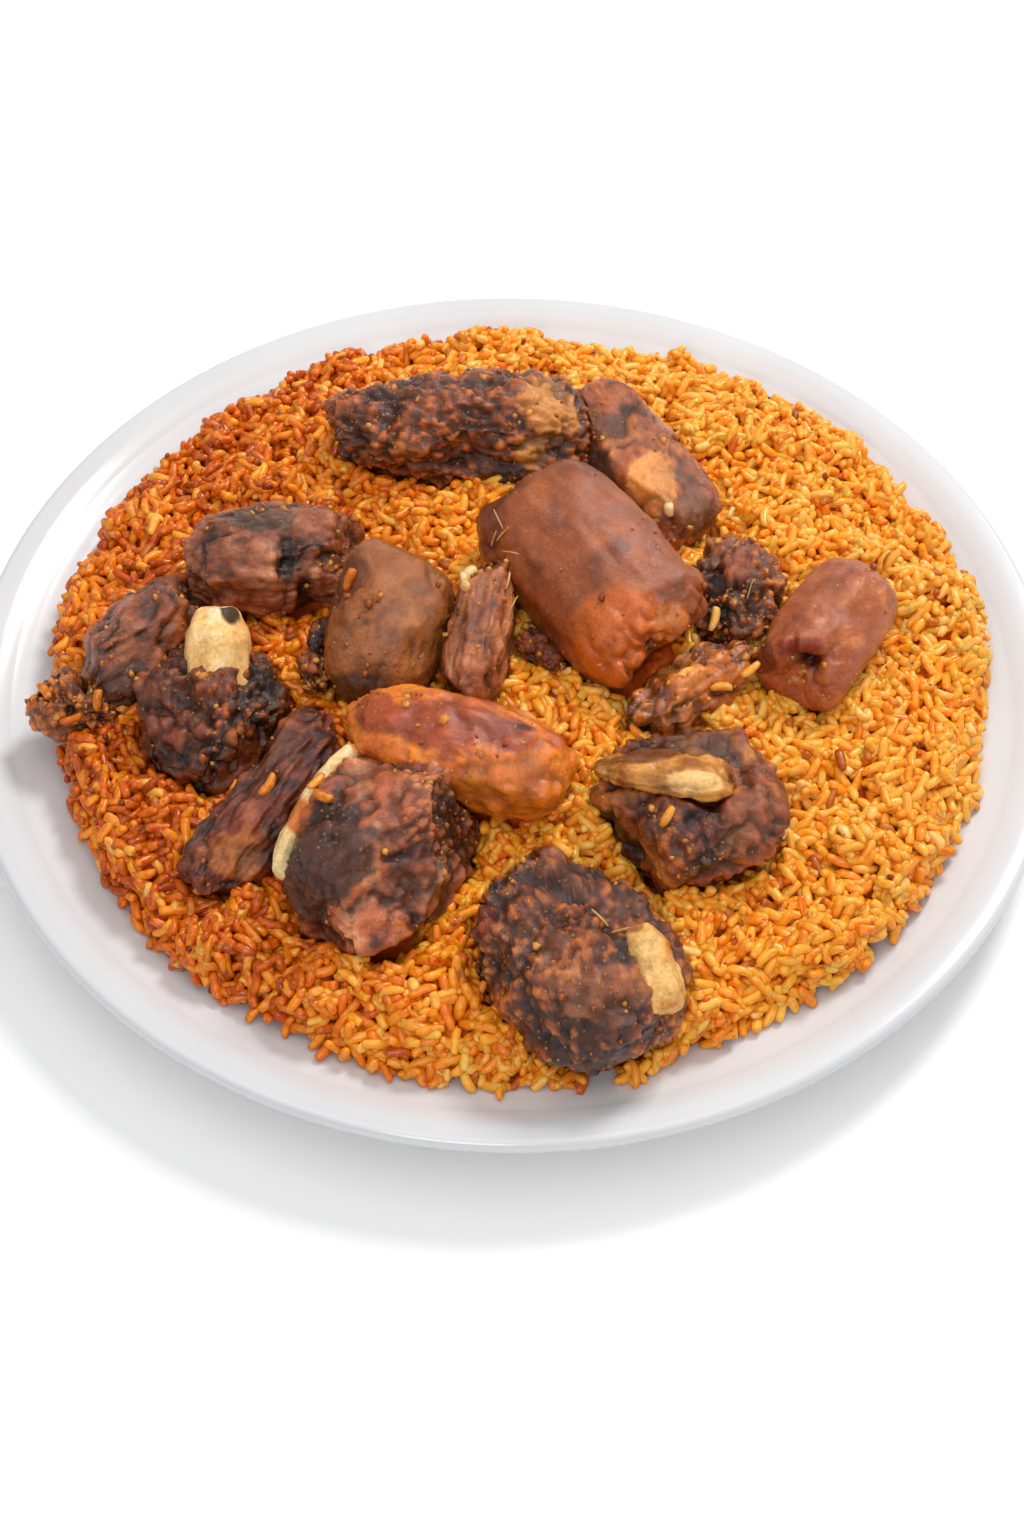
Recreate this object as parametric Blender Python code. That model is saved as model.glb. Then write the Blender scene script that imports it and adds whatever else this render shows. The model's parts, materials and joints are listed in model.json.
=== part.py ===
"""A round white plate of jollof rice with fried and stewed meat on top.

Units are metres, +Z is up, and the origin is the centre of the plate's foot on the table.
Every morsel of meat, every bone that shows, the heap of rice and the plate is its own closed solid.
What lies lower is cut back from what lies on it, with a small gap, so that no two solids overlap.
"""

import math

import bmesh
import bpy
import numpy as np
from mathutils import Euler

MM = 0.001
GAP = 0.35 * MM  # left between a piece and the one it rests on

# The plate, a thick coupe with a rolled lip
PLATE_RADIUS = 165 * MM
PLATE_HEIGHT = 24 * MM
WELL_RADIUS = 96 * MM
WELL_FLOOR = 7.5 * MM
SLOPE_CURVE = 1.55  # how late the slope rises, 1 being a straight cone
LIP_WIDTH = 13 * MM
LIP_DIP = 3.5 * MM  # from the lip's crest down to where the slope begins
LIP_THICKNESS = 4.6 * MM
FOOT_RADIUS = 92 * MM
FOOT_WIDTH = 6 * MM
FOOT_DEPTH = 2.5 * MM
PLATE_SEGMENTS = 60

# The heap of rice
HEAP_RADIUS = 143 * MM
HEAP_CROWN = 42 * MM  # height of its middle above the table
HEAP_SHOULDER = 33 * MM  # height just inside its edge
HEAP_BACK_LIFT = 3 * MM  # how much higher the far shoulder stands than the near one
HEAP_EDGE_RUN = 8 * MM  # how far the edge slopes out
HEAP_FOOT = 1.2 * MM  # thickness of the heap at its very edge
HEAP_WAVES = ((1, 2.4, 330), (3, 1.4, 20), (7, 1.2, 115), (13, 1.0, 230))  # order, mm, degrees
HEAP_SEGMENTS = 38
HEAP_RINGS = 6

# How finely a morsel is divided
RING_STEP = 8.5  # mm along it
SEGMENT_STEP = 9.5  # mm around it


# ---------------------------------------------------------------- materials


def material(name, hex_colour, roughness):
    """A Principled material from an sRGB colour written as hex."""
    made = bpy.data.materials.new(name)
    made.use_nodes = True
    shader = made.node_tree.nodes["Principled BSDF"]
    srgb = [int(hex_colour[i : i + 2], 16) / 255 for i in (0, 2, 4)]
    linear = [c / 12.92 if c <= 0.04045 else ((c + 0.055) / 1.055) ** 2.4 for c in srgb]
    shader.inputs["Base Color"].default_value = (*linear, 1)
    shader.inputs["Roughness"].default_value = roughness
    made.diffuse_color = (*linear, 1)
    return made


# ---------------------------------------------------------------- mesh helpers


def add_object(name, mesh, surface):
    """A smooth-shaded object in the scene with one material."""
    mesh.materials.append(surface)
    mesh.shade_smooth()
    mesh.set_sharp_from_angle(angle=math.radians(40))
    made = bpy.data.objects.new(name, mesh)
    bpy.context.scene.collection.objects.link(made)
    return made


def skin_rings(name, rings, start, end):
    """A closed mesh from rings of points, closed by a fan to the start point and one to the end point."""
    bm = bmesh.new()
    rows = [[bm.verts.new(p) for p in ring] for ring in rings]
    first, last = bm.verts.new(start), bm.verts.new(end)
    count = len(rows[0])
    for i in range(count):
        j = (i + 1) % count
        bm.faces.new((first, rows[0][j], rows[0][i]))
        bm.faces.new((last, rows[-1][i], rows[-1][j]))
        for near, far in zip(rows, rows[1:]):
            bm.faces.new((near[i], near[j], far[j], far[i]))
    bmesh.ops.recalc_face_normals(bm, faces=bm.faces)
    bmesh.ops.triangulate(bm, faces=bm.faces)
    mesh = bpy.data.meshes.new(name)
    bm.to_mesh(mesh)
    bm.free()
    return mesh


def swollen(mesh, distance):
    """A copy of a mesh with every vertex moved out along its normal."""
    grown = mesh.copy()
    for vertex, old in zip(grown.vertices, mesh.vertices):
        vertex.co = old.co + old.normal * distance
    return grown


def cut(target, cutter):
    """Cuts one object out of another."""
    boolean = target.modifiers.new("cut by " + cutter.name, "BOOLEAN")
    boolean.operation = "DIFFERENCE"
    boolean.solver = "EXACT"
    boolean.object = cutter


def make_guide(cutter):
    """A cutter shapes other pieces and is not a part itself."""
    cutter.hide_render = True
    cutter.display_type = "WIRE"


# ---------------------------------------------------------------- the plate


def arc(centre_r, centre_z, radius, from_deg, to_deg, steps):
    """Points of a round stretch of a profile."""
    angles = np.radians(np.linspace(from_deg, to_deg, steps))
    return [(centre_r + radius * math.cos(a), centre_z + radius * math.sin(a)) for a in angles]


def plate_top(radius):
    """Height of the plate's eating surface at a distance from its middle: a flat well, then a dished slope."""
    slope_end = PLATE_RADIUS - LIP_WIDTH
    share = min(max((radius - WELL_RADIUS) / (slope_end - WELL_RADIUS), 0), 1)
    return WELL_FLOOR + (PLATE_HEIGHT - LIP_DIP - WELL_FLOOR) * share**SLOPE_CURVE


def plate_profile():
    """The plate's outline from the middle of its underside, round the lip, to the middle of its well."""
    half = LIP_THICKNESS / 2
    under = [
        (FOOT_RADIUS - FOOT_WIDTH, FOOT_DEPTH),
        (FOOT_RADIUS - FOOT_WIDTH + 0.8 * MM, 0.0),
        (FOOT_RADIUS, 0.0),
        (FOOT_RADIUS + 1.2 * MM, FOOT_DEPTH),
        (PLATE_RADIUS - 36 * MM, 9.5 * MM),
        (PLATE_RADIUS - LIP_WIDTH, PLATE_HEIGHT - 8.5 * MM),
    ]
    lip = arc(PLATE_RADIUS - half, PLATE_HEIGHT - half, half, -80, 90, 6)
    inside = [
        (PLATE_RADIUS - 7 * MM, PLATE_HEIGHT - 0.5 * MM),
        (PLATE_RADIUS - 10.5 * MM, PLATE_HEIGHT - 1.9 * MM),
    ]
    slope = np.linspace(PLATE_RADIUS - LIP_WIDTH, WELL_RADIUS, 5)
    inside += [(r, plate_top(r)) for r in slope]
    return under + lip + inside


def make_plate(surface):
    """The profile turned about the plate's axis, with its well and its underside closed flat."""
    bm = bmesh.new()
    points = [bm.verts.new((r, 0, z)) for r, z in plate_profile()]
    edges = [bm.edges.new(pair) for pair in zip(points, points[1:])]
    bmesh.ops.spin(
        bm,
        geom=points + edges,
        cent=(0, 0, 0),
        axis=(0, 0, 1),
        angle=math.tau,
        steps=PLATE_SEGMENTS,
        use_merge=False,
    )
    bmesh.ops.remove_doubles(bm, verts=bm.verts, dist=0.01 * MM)
    bmesh.ops.holes_fill(bm, edges=[e for e in bm.edges if e.is_boundary], sides=0)
    bmesh.ops.recalc_face_normals(bm, faces=bm.faces)
    mesh = bpy.data.meshes.new("plate")
    bm.to_mesh(mesh)
    bm.free()
    return add_object("plate", mesh, surface)


# ---------------------------------------------------------------- the heap of rice


def heap_edge(angle):
    """The heap's uneven outline: its radius at an angle."""
    waves = [size * math.cos(order * (angle - math.radians(at))) for order, size, at in HEAP_WAVES]
    return HEAP_RADIUS + sum(waves) * MM


def heap_top(x, y):
    """Height of the heap's surface: a low dome with soft humps, falling away at its edge."""
    radius = math.hypot(x, y)
    edge = heap_edge(math.atan2(y, x))
    share = radius / edge
    shoulder = HEAP_SHOULDER + HEAP_BACK_LIFT * y / edge
    dome = shoulder + (HEAP_CROWN - shoulder) * (1 - share**2)
    humps = math.sin(x / (17 * MM) + 1) * math.sin(y / (15 * MM)) * 1.3 * MM
    inward = min(max((edge - radius) / HEAP_EDGE_RUN, 0), 1)
    rise = (1 - (1 - inward) ** 2) ** 0.7
    foot = plate_top(radius) + GAP + HEAP_FOOT
    return foot + (dome + humps - foot) * rise


def heap_underside(x, y):
    """The heap lies on the plate, a gap above it."""
    return plate_top(math.hypot(x, y)) + GAP + 0.25 * MM


def heap_ring(share, height):
    """One ring of the heap at a share of its edge radius."""
    ring = []
    for i in range(HEAP_SEGMENTS):
        angle = math.tau * i / HEAP_SEGMENTS
        radius = heap_edge(angle) * share
        x, y = radius * math.cos(angle), radius * math.sin(angle)
        ring.append((x, y, height(x, y)))
    return ring


def make_rice(surface):
    """The heap, out to its uneven outline, and down to the plate."""
    shoulder_share = 1 - HEAP_EDGE_RUN / HEAP_RADIUS
    top_shares = list(np.linspace(0.16, shoulder_share, HEAP_RINGS))
    top_shares += [1 - (1 - shoulder_share) * rest for rest in (0.5, 0.15, 0.0)]
    under_shares = [0.97, 0.84, WELL_RADIUS / HEAP_RADIUS]
    rings = [heap_ring(share, heap_top) for share in top_shares]
    rings += [heap_ring(share, heap_underside) for share in under_shares]
    mesh = skin_rings("rice", rings, (0, 0, heap_top(0, 0)), (0, 0, heap_underside(0, 0)))
    return add_object("rice", mesh, surface)


# ---------------------------------------------------------------- morsels of meat and bone


def direction(heading, climb):
    """A unit vector from a heading about Z and a climb above the flat, in degrees."""
    a, e = math.radians(heading), math.radians(climb)
    return np.array([math.cos(a) * math.cos(e), math.sin(a) * math.cos(e), math.sin(e)])


def swell(way, seed):
    """A smooth uneven swell over the directions, from five sine waves that run in seeded directions."""
    random = np.random.RandomState(seed)
    waves = random.normal(size=(5, 3)) * 2.4
    phases = random.uniform(0, math.tau, 5)
    return np.sin(way @ waves.T + phases).mean(axis=1)


def morsel_rings(spec):
    """The rings of a morsel, from one end to the other, as an array of ring x segment x 3.

    It is a rounded block, |x|^ends + (|y|^round + |z|^round)^(ends/round) = 1 in half sizes. It swells
    unevenly by its lumps, tapers and bows along X, is shaved flat at its flats, and is pushed in at its
    dents, or out where a dent's depth is negative.
    """
    length, width, height = spec["size"]
    half = np.array([length, width, height]) / 2 * MM
    ring_count = max(5, round(length / RING_STEP))
    segment_count = max(9, round((width + height) * 1.6 / SEGMENT_STEP))
    along = np.linspace(0, math.pi, ring_count + 2)
    around = np.arange(segment_count) * math.tau / segment_count
    u, v = np.meshgrid(along, around, indexing="ij")
    way = np.stack([np.cos(u), np.sin(u) * np.cos(v), np.sin(u) * np.sin(v)], axis=-1).reshape(-1, 3)
    ends, rounding = spec.get("ends", 2.6), spec.get("round", 2.4)
    across = (np.abs(way[:, 1]) ** rounding + np.abs(way[:, 2]) ** rounding) ** (ends / rounding)
    reach = (np.abs(way[:, 0]) ** ends + across) ** (-1 / ends)
    points = way * (reach * (1 + spec.get("lumps", 0.07) * swell(way, spec["seed"])))[:, None] * half
    share = points[:, 0] / half[0]
    points[:, 1:] *= (1 + spec.get("taper", 0.0) * share)[:, None]
    points[:, 1] += spec.get("bow", 0.0) * MM * (0.4 - share**2)
    points[:, 2] += spec.get("arch", 0.0) * MM * (0.4 - share**2)
    for heading, climb, keep in spec.get("flats", ()):
        normal = direction(heading, climb)
        limit = keep * (points @ normal).max()
        points -= np.clip(points @ normal - limit, 0, None)[:, None] * normal
    for heading, climb, radius, depth in spec.get("dents", ()):
        toward = direction(heading, climb)
        mouth = points[np.argmax(way @ toward / np.linalg.norm(way, axis=1))]
        near = np.exp(-((points - mouth) ** 2).sum(axis=1) / (radius * MM) ** 2)
        points -= near[:, None] * toward * depth * MM
    heading, pitch, roll = spec["turn"]
    turn = Euler([math.radians(a) for a in (roll, -pitch, heading)], "XYZ").to_matrix()
    points = points @ np.array(turn).T + np.array(spec["at"]) * MM
    return points.reshape(u.shape + (3,))


def morsel_mesh(name, spec):
    """A morsel as a closed mesh."""
    rings = morsel_rings(spec)
    return skin_rings(name, rings[1:-1], rings[0].mean(axis=0), rings[-1].mean(axis=0))


# size is length, width and height, and at is the middle, in mm. turn is the heading of its length about
# Z, then how far its head points up and how far it rolls, in degrees. A flat is a heading, a climb and the
# share of the reach that is kept; a dent is a heading, a climb, a radius and a depth in mm. Both are
# in the morsel's own frame, its length along X. What lies on top comes first, because each later morsel is
# cut back from the earlier ones.
MORSELS = {
    "shank_bone": dict(
        size=(38, 19, 16), at=(-85, -27, 48), turn=(92, 46, 0), ends=9, round=2.6, seed=1,
        lumps=0.03, taper=0.04,
    ),
    "block_bone": dict(
        size=(44, 8, 16), at=(-53, -74, 45), turn=(62, 12, -20), ends=4, round=3, seed=2, lumps=0.05,
    ),
    "chunk_bone": dict(
        size=(40, 15, 7), at=(42, -67, 55.5), turn=(-9, 2, -14), ends=3, round=3, seed=3, lumps=0.05,
        taper=0.2,
    ),
    "knuckle_bone": dict(
        size=(25, 15, 17), at=(37.5, -123, 44), turn=(-72, -12, 20), ends=4, round=3, seed=4,
        lumps=0.05,
    ),
    "skin_barrel": dict(
        size=(75, 47, 36), at=(23, 10, 52), turn=(-52, -8, 10), ends=4, round=2.5, seed=5, lumps=0.03,
        flats=[(180, 25, 0.9)], dents=[(4, -30, 13, 12), (318, 12, 9, -5)],
    ),
    "golden_oval": dict(
        size=(66, 32, 28), at=(-14, -57, 52), turn=(-19, -1, 8), ends=2.6, round=2.1, seed=6,
        taper=0.1, lumps=0.03,
    ),
    "tail_roll": dict(
        size=(54, 31, 28), at=(92, -8, 44), turn=(58, 5, -6), ends=4, round=2.3, seed=8, taper=0.04,
        lumps=0.03, dents=[(180, 0, 9, 12)],
    ),
    "crusty_rib": dict(
        size=(80, 36, 32), at=(-18, 76, 46), turn=(3, 2, 0), ends=3.2, round=2.6, seed=11, lumps=0.12,
        dents=[(300, -10, 12, -8), (265, 20, 7, 6), (150, 30, 11, -5)],
    ),
    "slab": dict(
        size=(66, 33, 26), at=(38, 64, 43), turn=(-60, -6, 22), ends=3.4, round=3, seed=14,
        flats=[(90, 62, 0.8), (270, 30, 0.85)], lumps=0.06, taper=0.1,
    ),
    "char_lump": dict(
        size=(38, 28, 26), at=(67, 12, 42), turn=(80, 0, 0), seed=17, lumps=0.12,
        dents=[(150, 40, 6, 5)],
    ),
    "round_left": dict(
        size=(55, 38, 31), at=(-72, 21, 45), turn=(8, 0, 0), ends=2.8, round=2.4, seed=20, lumps=0.06,
        dents=[(300, 15, 7, 8), (60, 70, 8, 3)],
    ),
    "heart_lobe": dict(
        size=(50, 37, 34), at=(-37, -9, 47), turn=(78, 8, 0), ends=3, round=2.3, seed=23, taper=0.08,
        lumps=0.05, dents=[(40, 35, 8, -4)],
    ),
    "heart_slice": dict(
        size=(52, 20, 32), at=(-10, -12, 47), turn=(82, 8, 0), ends=2.8, round=2.6, seed=26,
        lumps=0.06, dents=[(0, 60, 6, -3)],
    ),
    "block_front": dict(
        size=(58, 46, 38), at=(-36, -85, 43), turn=(62, 6, -12), ends=4, round=3.4, seed=29,
        flats=[(150, 42, 0.8), (200, 10, 0.92)], lumps=0.06, dents=[(310, 20, 11, -7)],
    ),
    "shank_left": dict(
        size=(46, 43, 35), at=(-88, -35, 38), turn=(70, 0, 0), seed=32, lumps=0.09,
        flats=[(165, 52, 0.78)], dents=[(40, 20, 9, -4)],
    ),
    "wedge_left": dict(
        size=(50, 27, 28), at=(-110, -6, 38), turn=(58, 0, 0), ends=2.8, round=2.8, seed=35,
        lumps=0.07, taper=-0.12, flats=[(90, 45, 0.86)],
    ),
    "crumbly_end": dict(
        size=(30, 22, 16), at=(-126, -27, 34), turn=(10, 0, 0), round=2.2, seed=38, lumps=0.12,
    ),
    "rib_strip": dict(
        size=(63, 25, 22), at=(-69, -66, 37), turn=(58, 6, 8), ends=3, round=2.7, seed=41, bow=-7,
        taper=-0.1, lumps=0.05, dents=[(270, 40, 6, 4), (250, 55, 6, 3)],
    ),
    "chunk_right": dict(
        size=(52, 48, 36), at=(51, -69, 41), turn=(20, 0, 0), ends=3.2, round=2.8, seed=44, lumps=0.09,
        dents=[(215, 10, 12, 8), (330, 60, 7, 4)],
    ),
    "tendon_flap": dict(
        size=(46, 22, 19), at=(52, -25, 41), turn=(42, 0, 0), round=2.2, seed=47, lumps=0.12,
        dents=[(10, 70, 7, 4)],
    ),
    "scrap_left": dict(
        size=(26, 12, 12), at=(-56, -14, 41), turn=(80, 0, 0), seed=53, lumps=0.14,
    ),
    "scrap_middle": dict(
        size=(20, 14, 10), at=(10, -11, 41), turn=(-30, 0, 0), seed=56, lumps=0.14,
    ),
    "knuckle_front": dict(
        size=(62, 46, 38), at=(17, -117, 37), turn=(-44, -4, 0), ends=3.6, round=2.9, seed=50,
        lumps=0.07, dents=[(135, 62, 6, 8), (70, 62, 6, 8), (250, 20, 10, 4), (80, 10, 13, -6)],
    ),
}


def meshes_near(first, second):
    """True if the bounding boxes of two meshes overlap."""
    low_a, high_a = corners(first)
    low_b, high_b = corners(second)
    return bool((low_a < high_b).all() and (low_b < high_a).all())


def corners(mesh):
    """Lowest and highest corner of a mesh."""
    points = np.array([v.co for v in mesh.vertices])
    return points.min(axis=0), points.max(axis=0)


def make_morsels(surface_of):
    """Every morsel, cut back from those that lie on it, and the cutters, each a gap larger than its morsel."""
    cutters = []
    for name, spec in MORSELS.items():
        solid = add_object(name, morsel_mesh(name, spec), surface_of(name))
        for upper in cutters:
            if meshes_near(solid.data, upper.data):
                cut(solid, upper)
        cutter = add_object(name + "_cutter", swollen(solid.data, GAP), surface_of(name))
        make_guide(cutter)
        cutters.append(cutter)
    return cutters


# ---------------------------------------------------------------- build


def main():
    for old in list(bpy.data.objects):
        bpy.data.objects.remove(old)
    glaze = material("white glazed stoneware", "F1F0F0", 0.18)
    grain = material("jollof rice", "DD8326", 0.4)
    meat = material("fried beef", "4B2E24", 0.5)
    skin = material("stewed skin", "86492B", 0.3)
    golden = material("golden crust", "A9652B", 0.35)
    bone = material("cooked bone", "E8C98C", 0.45)
    special = {"skin_barrel": skin, "tail_roll": skin, "golden_oval": golden}
    special |= {name: bone for name in MORSELS if name.endswith("_bone")}

    make_plate(glaze)
    rice = make_rice(grain)
    for cutter in make_morsels(lambda name: special.get(name, meat)):
        cut(rice, cutter)


main()
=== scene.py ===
# %% [markdown]
# # Jollof rice with fried and stewed meat
# A round white plate is heaped with orange rice, and on the rice lie pieces of meat: some dark and
# crusty from the fryer, some smooth skin from the stew, some cut on the bone. The solids that were
# modelled for it give every piece its place and its true form. This file gives each one its surface.

# %% The frame
import json
import math

import bpy
import numpy as np
from mathutils import Matrix, Vector
from mathutils.bvhtree import BVHTree

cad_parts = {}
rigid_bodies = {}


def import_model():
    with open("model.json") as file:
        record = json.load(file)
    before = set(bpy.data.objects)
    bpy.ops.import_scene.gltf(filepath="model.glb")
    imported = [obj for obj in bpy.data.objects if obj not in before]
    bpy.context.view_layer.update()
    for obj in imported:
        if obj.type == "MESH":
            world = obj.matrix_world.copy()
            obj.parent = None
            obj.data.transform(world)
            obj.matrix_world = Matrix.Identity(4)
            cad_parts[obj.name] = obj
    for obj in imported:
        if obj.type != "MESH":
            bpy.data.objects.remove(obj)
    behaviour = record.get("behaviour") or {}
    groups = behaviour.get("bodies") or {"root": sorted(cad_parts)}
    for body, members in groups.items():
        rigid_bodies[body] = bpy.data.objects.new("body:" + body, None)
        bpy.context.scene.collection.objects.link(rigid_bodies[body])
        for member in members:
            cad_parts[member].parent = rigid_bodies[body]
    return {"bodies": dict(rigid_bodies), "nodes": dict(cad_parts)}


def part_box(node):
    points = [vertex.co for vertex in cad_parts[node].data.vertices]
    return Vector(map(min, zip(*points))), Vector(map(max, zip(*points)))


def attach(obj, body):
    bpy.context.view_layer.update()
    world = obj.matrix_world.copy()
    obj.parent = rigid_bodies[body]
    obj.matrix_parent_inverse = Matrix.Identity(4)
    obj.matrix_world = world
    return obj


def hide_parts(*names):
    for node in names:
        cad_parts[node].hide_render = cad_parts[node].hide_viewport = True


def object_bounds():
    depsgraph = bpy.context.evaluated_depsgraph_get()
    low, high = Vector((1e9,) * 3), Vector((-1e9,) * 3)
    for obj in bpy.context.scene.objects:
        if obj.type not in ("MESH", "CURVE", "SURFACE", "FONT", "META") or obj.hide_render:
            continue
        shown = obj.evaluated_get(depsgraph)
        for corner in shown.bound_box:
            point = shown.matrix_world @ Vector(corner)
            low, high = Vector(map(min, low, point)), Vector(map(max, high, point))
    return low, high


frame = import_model()
cad_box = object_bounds()
MM = 0.001
root = next(iter(frame["bodies"]))
print("body", root, "with", len(frame["nodes"]), "nodes; box", cad_box)

# %% [markdown]
# ## Tools for every piece
# A finish is mostly colour, so a function turns hex colours to the linear numbers that Blender works
# in. A surface is a grid of points, so another turns grids into a closed mesh. Building from whole
# arrays is much faster than one vertex at a time, and a formula says more than a list of points.

# %% Colour and mesh helpers


def linear(hex_colour):
    """The three linear numbers of an sRGB colour written as hex."""
    srgb = np.array([int(hex_colour[i : i + 2], 16) / 255 for i in (0, 2, 4)])
    return np.where(srgb <= 0.04045, srgb / 12.92, ((srgb + 0.055) / 1.055) ** 2.4)


def rgba(hex_colour):
    """The same with an alpha of one, as sockets take it."""
    return (*linear(hex_colour), 1.0)


def smooth(low, high, value):
    """0 below low, 1 above high, and a soft S between them."""
    t = np.clip((value - low) / (high - low), 0, 1)
    return t * t * (3 - 2 * t)


def build_mesh(name, points, quads, triangles):
    """A smooth-shaded object from an array of points and arrays of four-cornered and three-cornered faces."""
    mesh = bpy.data.meshes.new(name)
    mesh.vertices.add(len(points))
    mesh.vertices.foreach_set("co", np.asarray(points, np.float32).ravel())
    corners = np.concatenate([quads.ravel(), triangles.ravel()])
    starts = np.concatenate([np.arange(len(quads)) * 4, len(quads) * 4 + np.arange(len(triangles)) * 3])
    mesh.loops.add(len(corners))
    mesh.loops.foreach_set("vertex_index", corners.astype(np.int32))
    mesh.polygons.add(len(starts))
    mesh.polygons.foreach_set("loop_start", starts.astype(np.int32))
    mesh.update(calc_edges=True)
    mesh.shade_smooth()
    made = bpy.data.objects.new(name, mesh)
    bpy.context.scene.collection.objects.link(made)
    return made


def closed_faces(rings, around):
    """Faces of a closed grid: rings x around points, ring by ring, then a start point and an end point."""
    r, s = np.meshgrid(np.arange(rings - 1), np.arange(around), indexing="ij")
    here, nxt = r * around + s, r * around + (s + 1) % around
    quads = np.stack([here, nxt, nxt + around, here + around], axis=-1).reshape(-1, 4)
    s = np.arange(around)
    t = (s + 1) % around
    last = (rings - 1) * around
    start, end = np.full(around, rings * around), np.full(around, rings * around + 1)
    ends = [np.stack([start, t, s], axis=-1), np.stack([end, last + s, last + t], axis=-1)]
    return quads, np.concatenate(ends)


def closed_object(name, grid, start, end):
    """A closed piece from a rings x around grid of points and its two poles, with its faces outward."""
    rings, around = grid.shape[:2]
    points = np.concatenate([grid.reshape(-1, 3), [start], [end]])
    quads, triangles = closed_faces(rings, around)
    a, b, c = (points[quads[:, i]] for i in (0, 1, 2))
    if np.einsum("ij,ij->i", a, np.cross(b, c)).sum() < 0:
        quads, triangles = quads[:, ::-1], triangles[:, ::-1]
    return build_mesh(name, points, quads, triangles)


def paint(piece, name, values):
    """Writes one number or one colour for each vertex into a named attribute."""
    if values.ndim == 1:
        layer = piece.data.attributes.new(name, "FLOAT", "POINT")
        layer.data.foreach_set("value", values.astype(np.float32))
    else:
        layer = piece.data.attributes.new(name, "FLOAT_COLOR", "POINT")
        filled = np.concatenate([values, np.ones((len(values), 1))], axis=1)
        layer.data.foreach_set("color", filled.astype(np.float32).ravel())


def finished(piece, material, *nodes, slot):
    """Gives a piece its material, hangs it on the root body and hides the solids that it stands for."""
    piece.data.materials.append(material)
    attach(piece, root)
    if nodes:
        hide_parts(*nodes)
    return piece


# %% [markdown]
# Meat and rice are uneven at every size. Three patterns give that: a soft noise that rolls from high
# to low, the same noise laid over itself at finer and finer sizes, and cells, each with its own
# centre, for anything that comes in lumps. They are worked out from numbers scrambled at the corners
# of a lattice, so they need no stored picture and come out the same every time.

# %% Uneven patterns


def scramble(x, y, z, seed):
    """A number from 0 to 1 for each lattice corner, by multiplying and folding its whole-number place."""
    with np.errstate(over="ignore"):
        h = x.astype(np.uint32) * np.uint32(374761393) + y.astype(np.uint32) * np.uint32(668265263)
        h = h + z.astype(np.uint32) * np.uint32(2246822519) + np.uint32(seed * 3266489917 % 2**32)
        h = (h ^ (h >> np.uint32(13))) * np.uint32(1274126177)
        h = (h ^ (h >> np.uint32(15))) * np.uint32(2246822519)
    return (h ^ (h >> np.uint32(16))) / 2.0**32


def rolling(points, size, seed):
    """Noise from -1 to 1 whose hills are size across: the corners' numbers, blended by soft weights."""
    scaled = points / size
    corner = np.floor(scaled).astype(np.int64)
    within = scaled - corner
    weight = within * within * (3 - 2 * within)
    total = np.zeros(len(points))
    for dx in (0, 1):
        for dy in (0, 1):
            for dz in (0, 1):
                share = np.prod(np.where([dx, dy, dz], weight, 1 - weight), axis=1)
                total += share * scramble(*(corner + [dx, dy, dz]).T, seed)
    return total * 2 - 1


def rough(points, size, seed, octaves=4, keep=0.5):
    """Rolling noise laid over itself, each time half the size and keep times the height."""
    layers = [keep**i * rolling(points, size / 2**i, seed + i) for i in range(octaves)]
    return sum(layers) / sum(keep**i for i in range(octaves))


def cells(points, size, seed):
    """The distance to the nearest cell centre, in cell sizes, and that cell's own random number."""
    scaled = points / size
    corner = np.floor(scaled).astype(np.int64)
    nearest, owner = np.full(len(points), 9.0), np.zeros(len(points))
    for step in np.ndindex(3, 3, 3):
        cell = corner + np.array(step) - 1
        centre = cell + np.stack([scramble(*cell.T, seed + i) for i in (1, 2, 3)], axis=1)
        distance = np.linalg.norm(scaled - centre, axis=1)
        closer = distance < nearest
        nearest = np.where(closer, distance, nearest)
        owner = np.where(closer, scramble(*cell.T, seed), owner)
    return nearest, owner


# %% [markdown]
# ## Node materials
# Every finish is a Principled shader fed by patterns that are laid out in the piece's own space, so a
# small helper adds a node, sets its values and links its inputs in one call.

# %% Material helpers


def add(tree, kind, values=None, links=None, stops=None, **settings):
    """Adds a node with its settings, socket values and incoming links, and a colour ramp's stops.

    Each stop is a position and a hex colour.
    """
    node = tree.nodes.new("ShaderNode" + kind)
    for name, value in settings.items():
        setattr(node, name, value)
    for socket, value in (values or {}).items():
        node.inputs[socket].default_value = value
    for socket, source in (links or {}).items():
        tree.links.new(source, node.inputs[socket])
    if stops:
        for _ in stops[2:]:
            node.color_ramp.elements.new(0.5)
        for element, (position, colour) in zip(node.color_ramp.elements, stops):
            element.position = position
            element.color = rgba(colour)
    return node


def new_material(name, **shader_values):
    """A node material's parts: itself, its tree, its Principled shader with its values set, and the place."""
    made = bpy.data.materials.new(name)
    made.use_nodes = True
    shader = made.node_tree.nodes["Principled BSDF"]
    for socket, value in shader_values.items():
        shader.inputs[socket.replace("_", " ")].default_value = value
    spot = add(made.node_tree, "TexCoord").outputs["Object"]
    return made, made.node_tree, shader, spot


# %% [markdown]
# ## The plate
# The real one is thick stoneware, pressed or thrown to a dish with a rolled lip and dipped in white
# glaze. It could be the modelled solid with a better material, but its sixty flat sides would show
# round the lip, so the same profile is turned again in fine steps. The eating surface is a flat well,
# then a slope that steepens outwards; the lip is a half-round bead.

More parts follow.
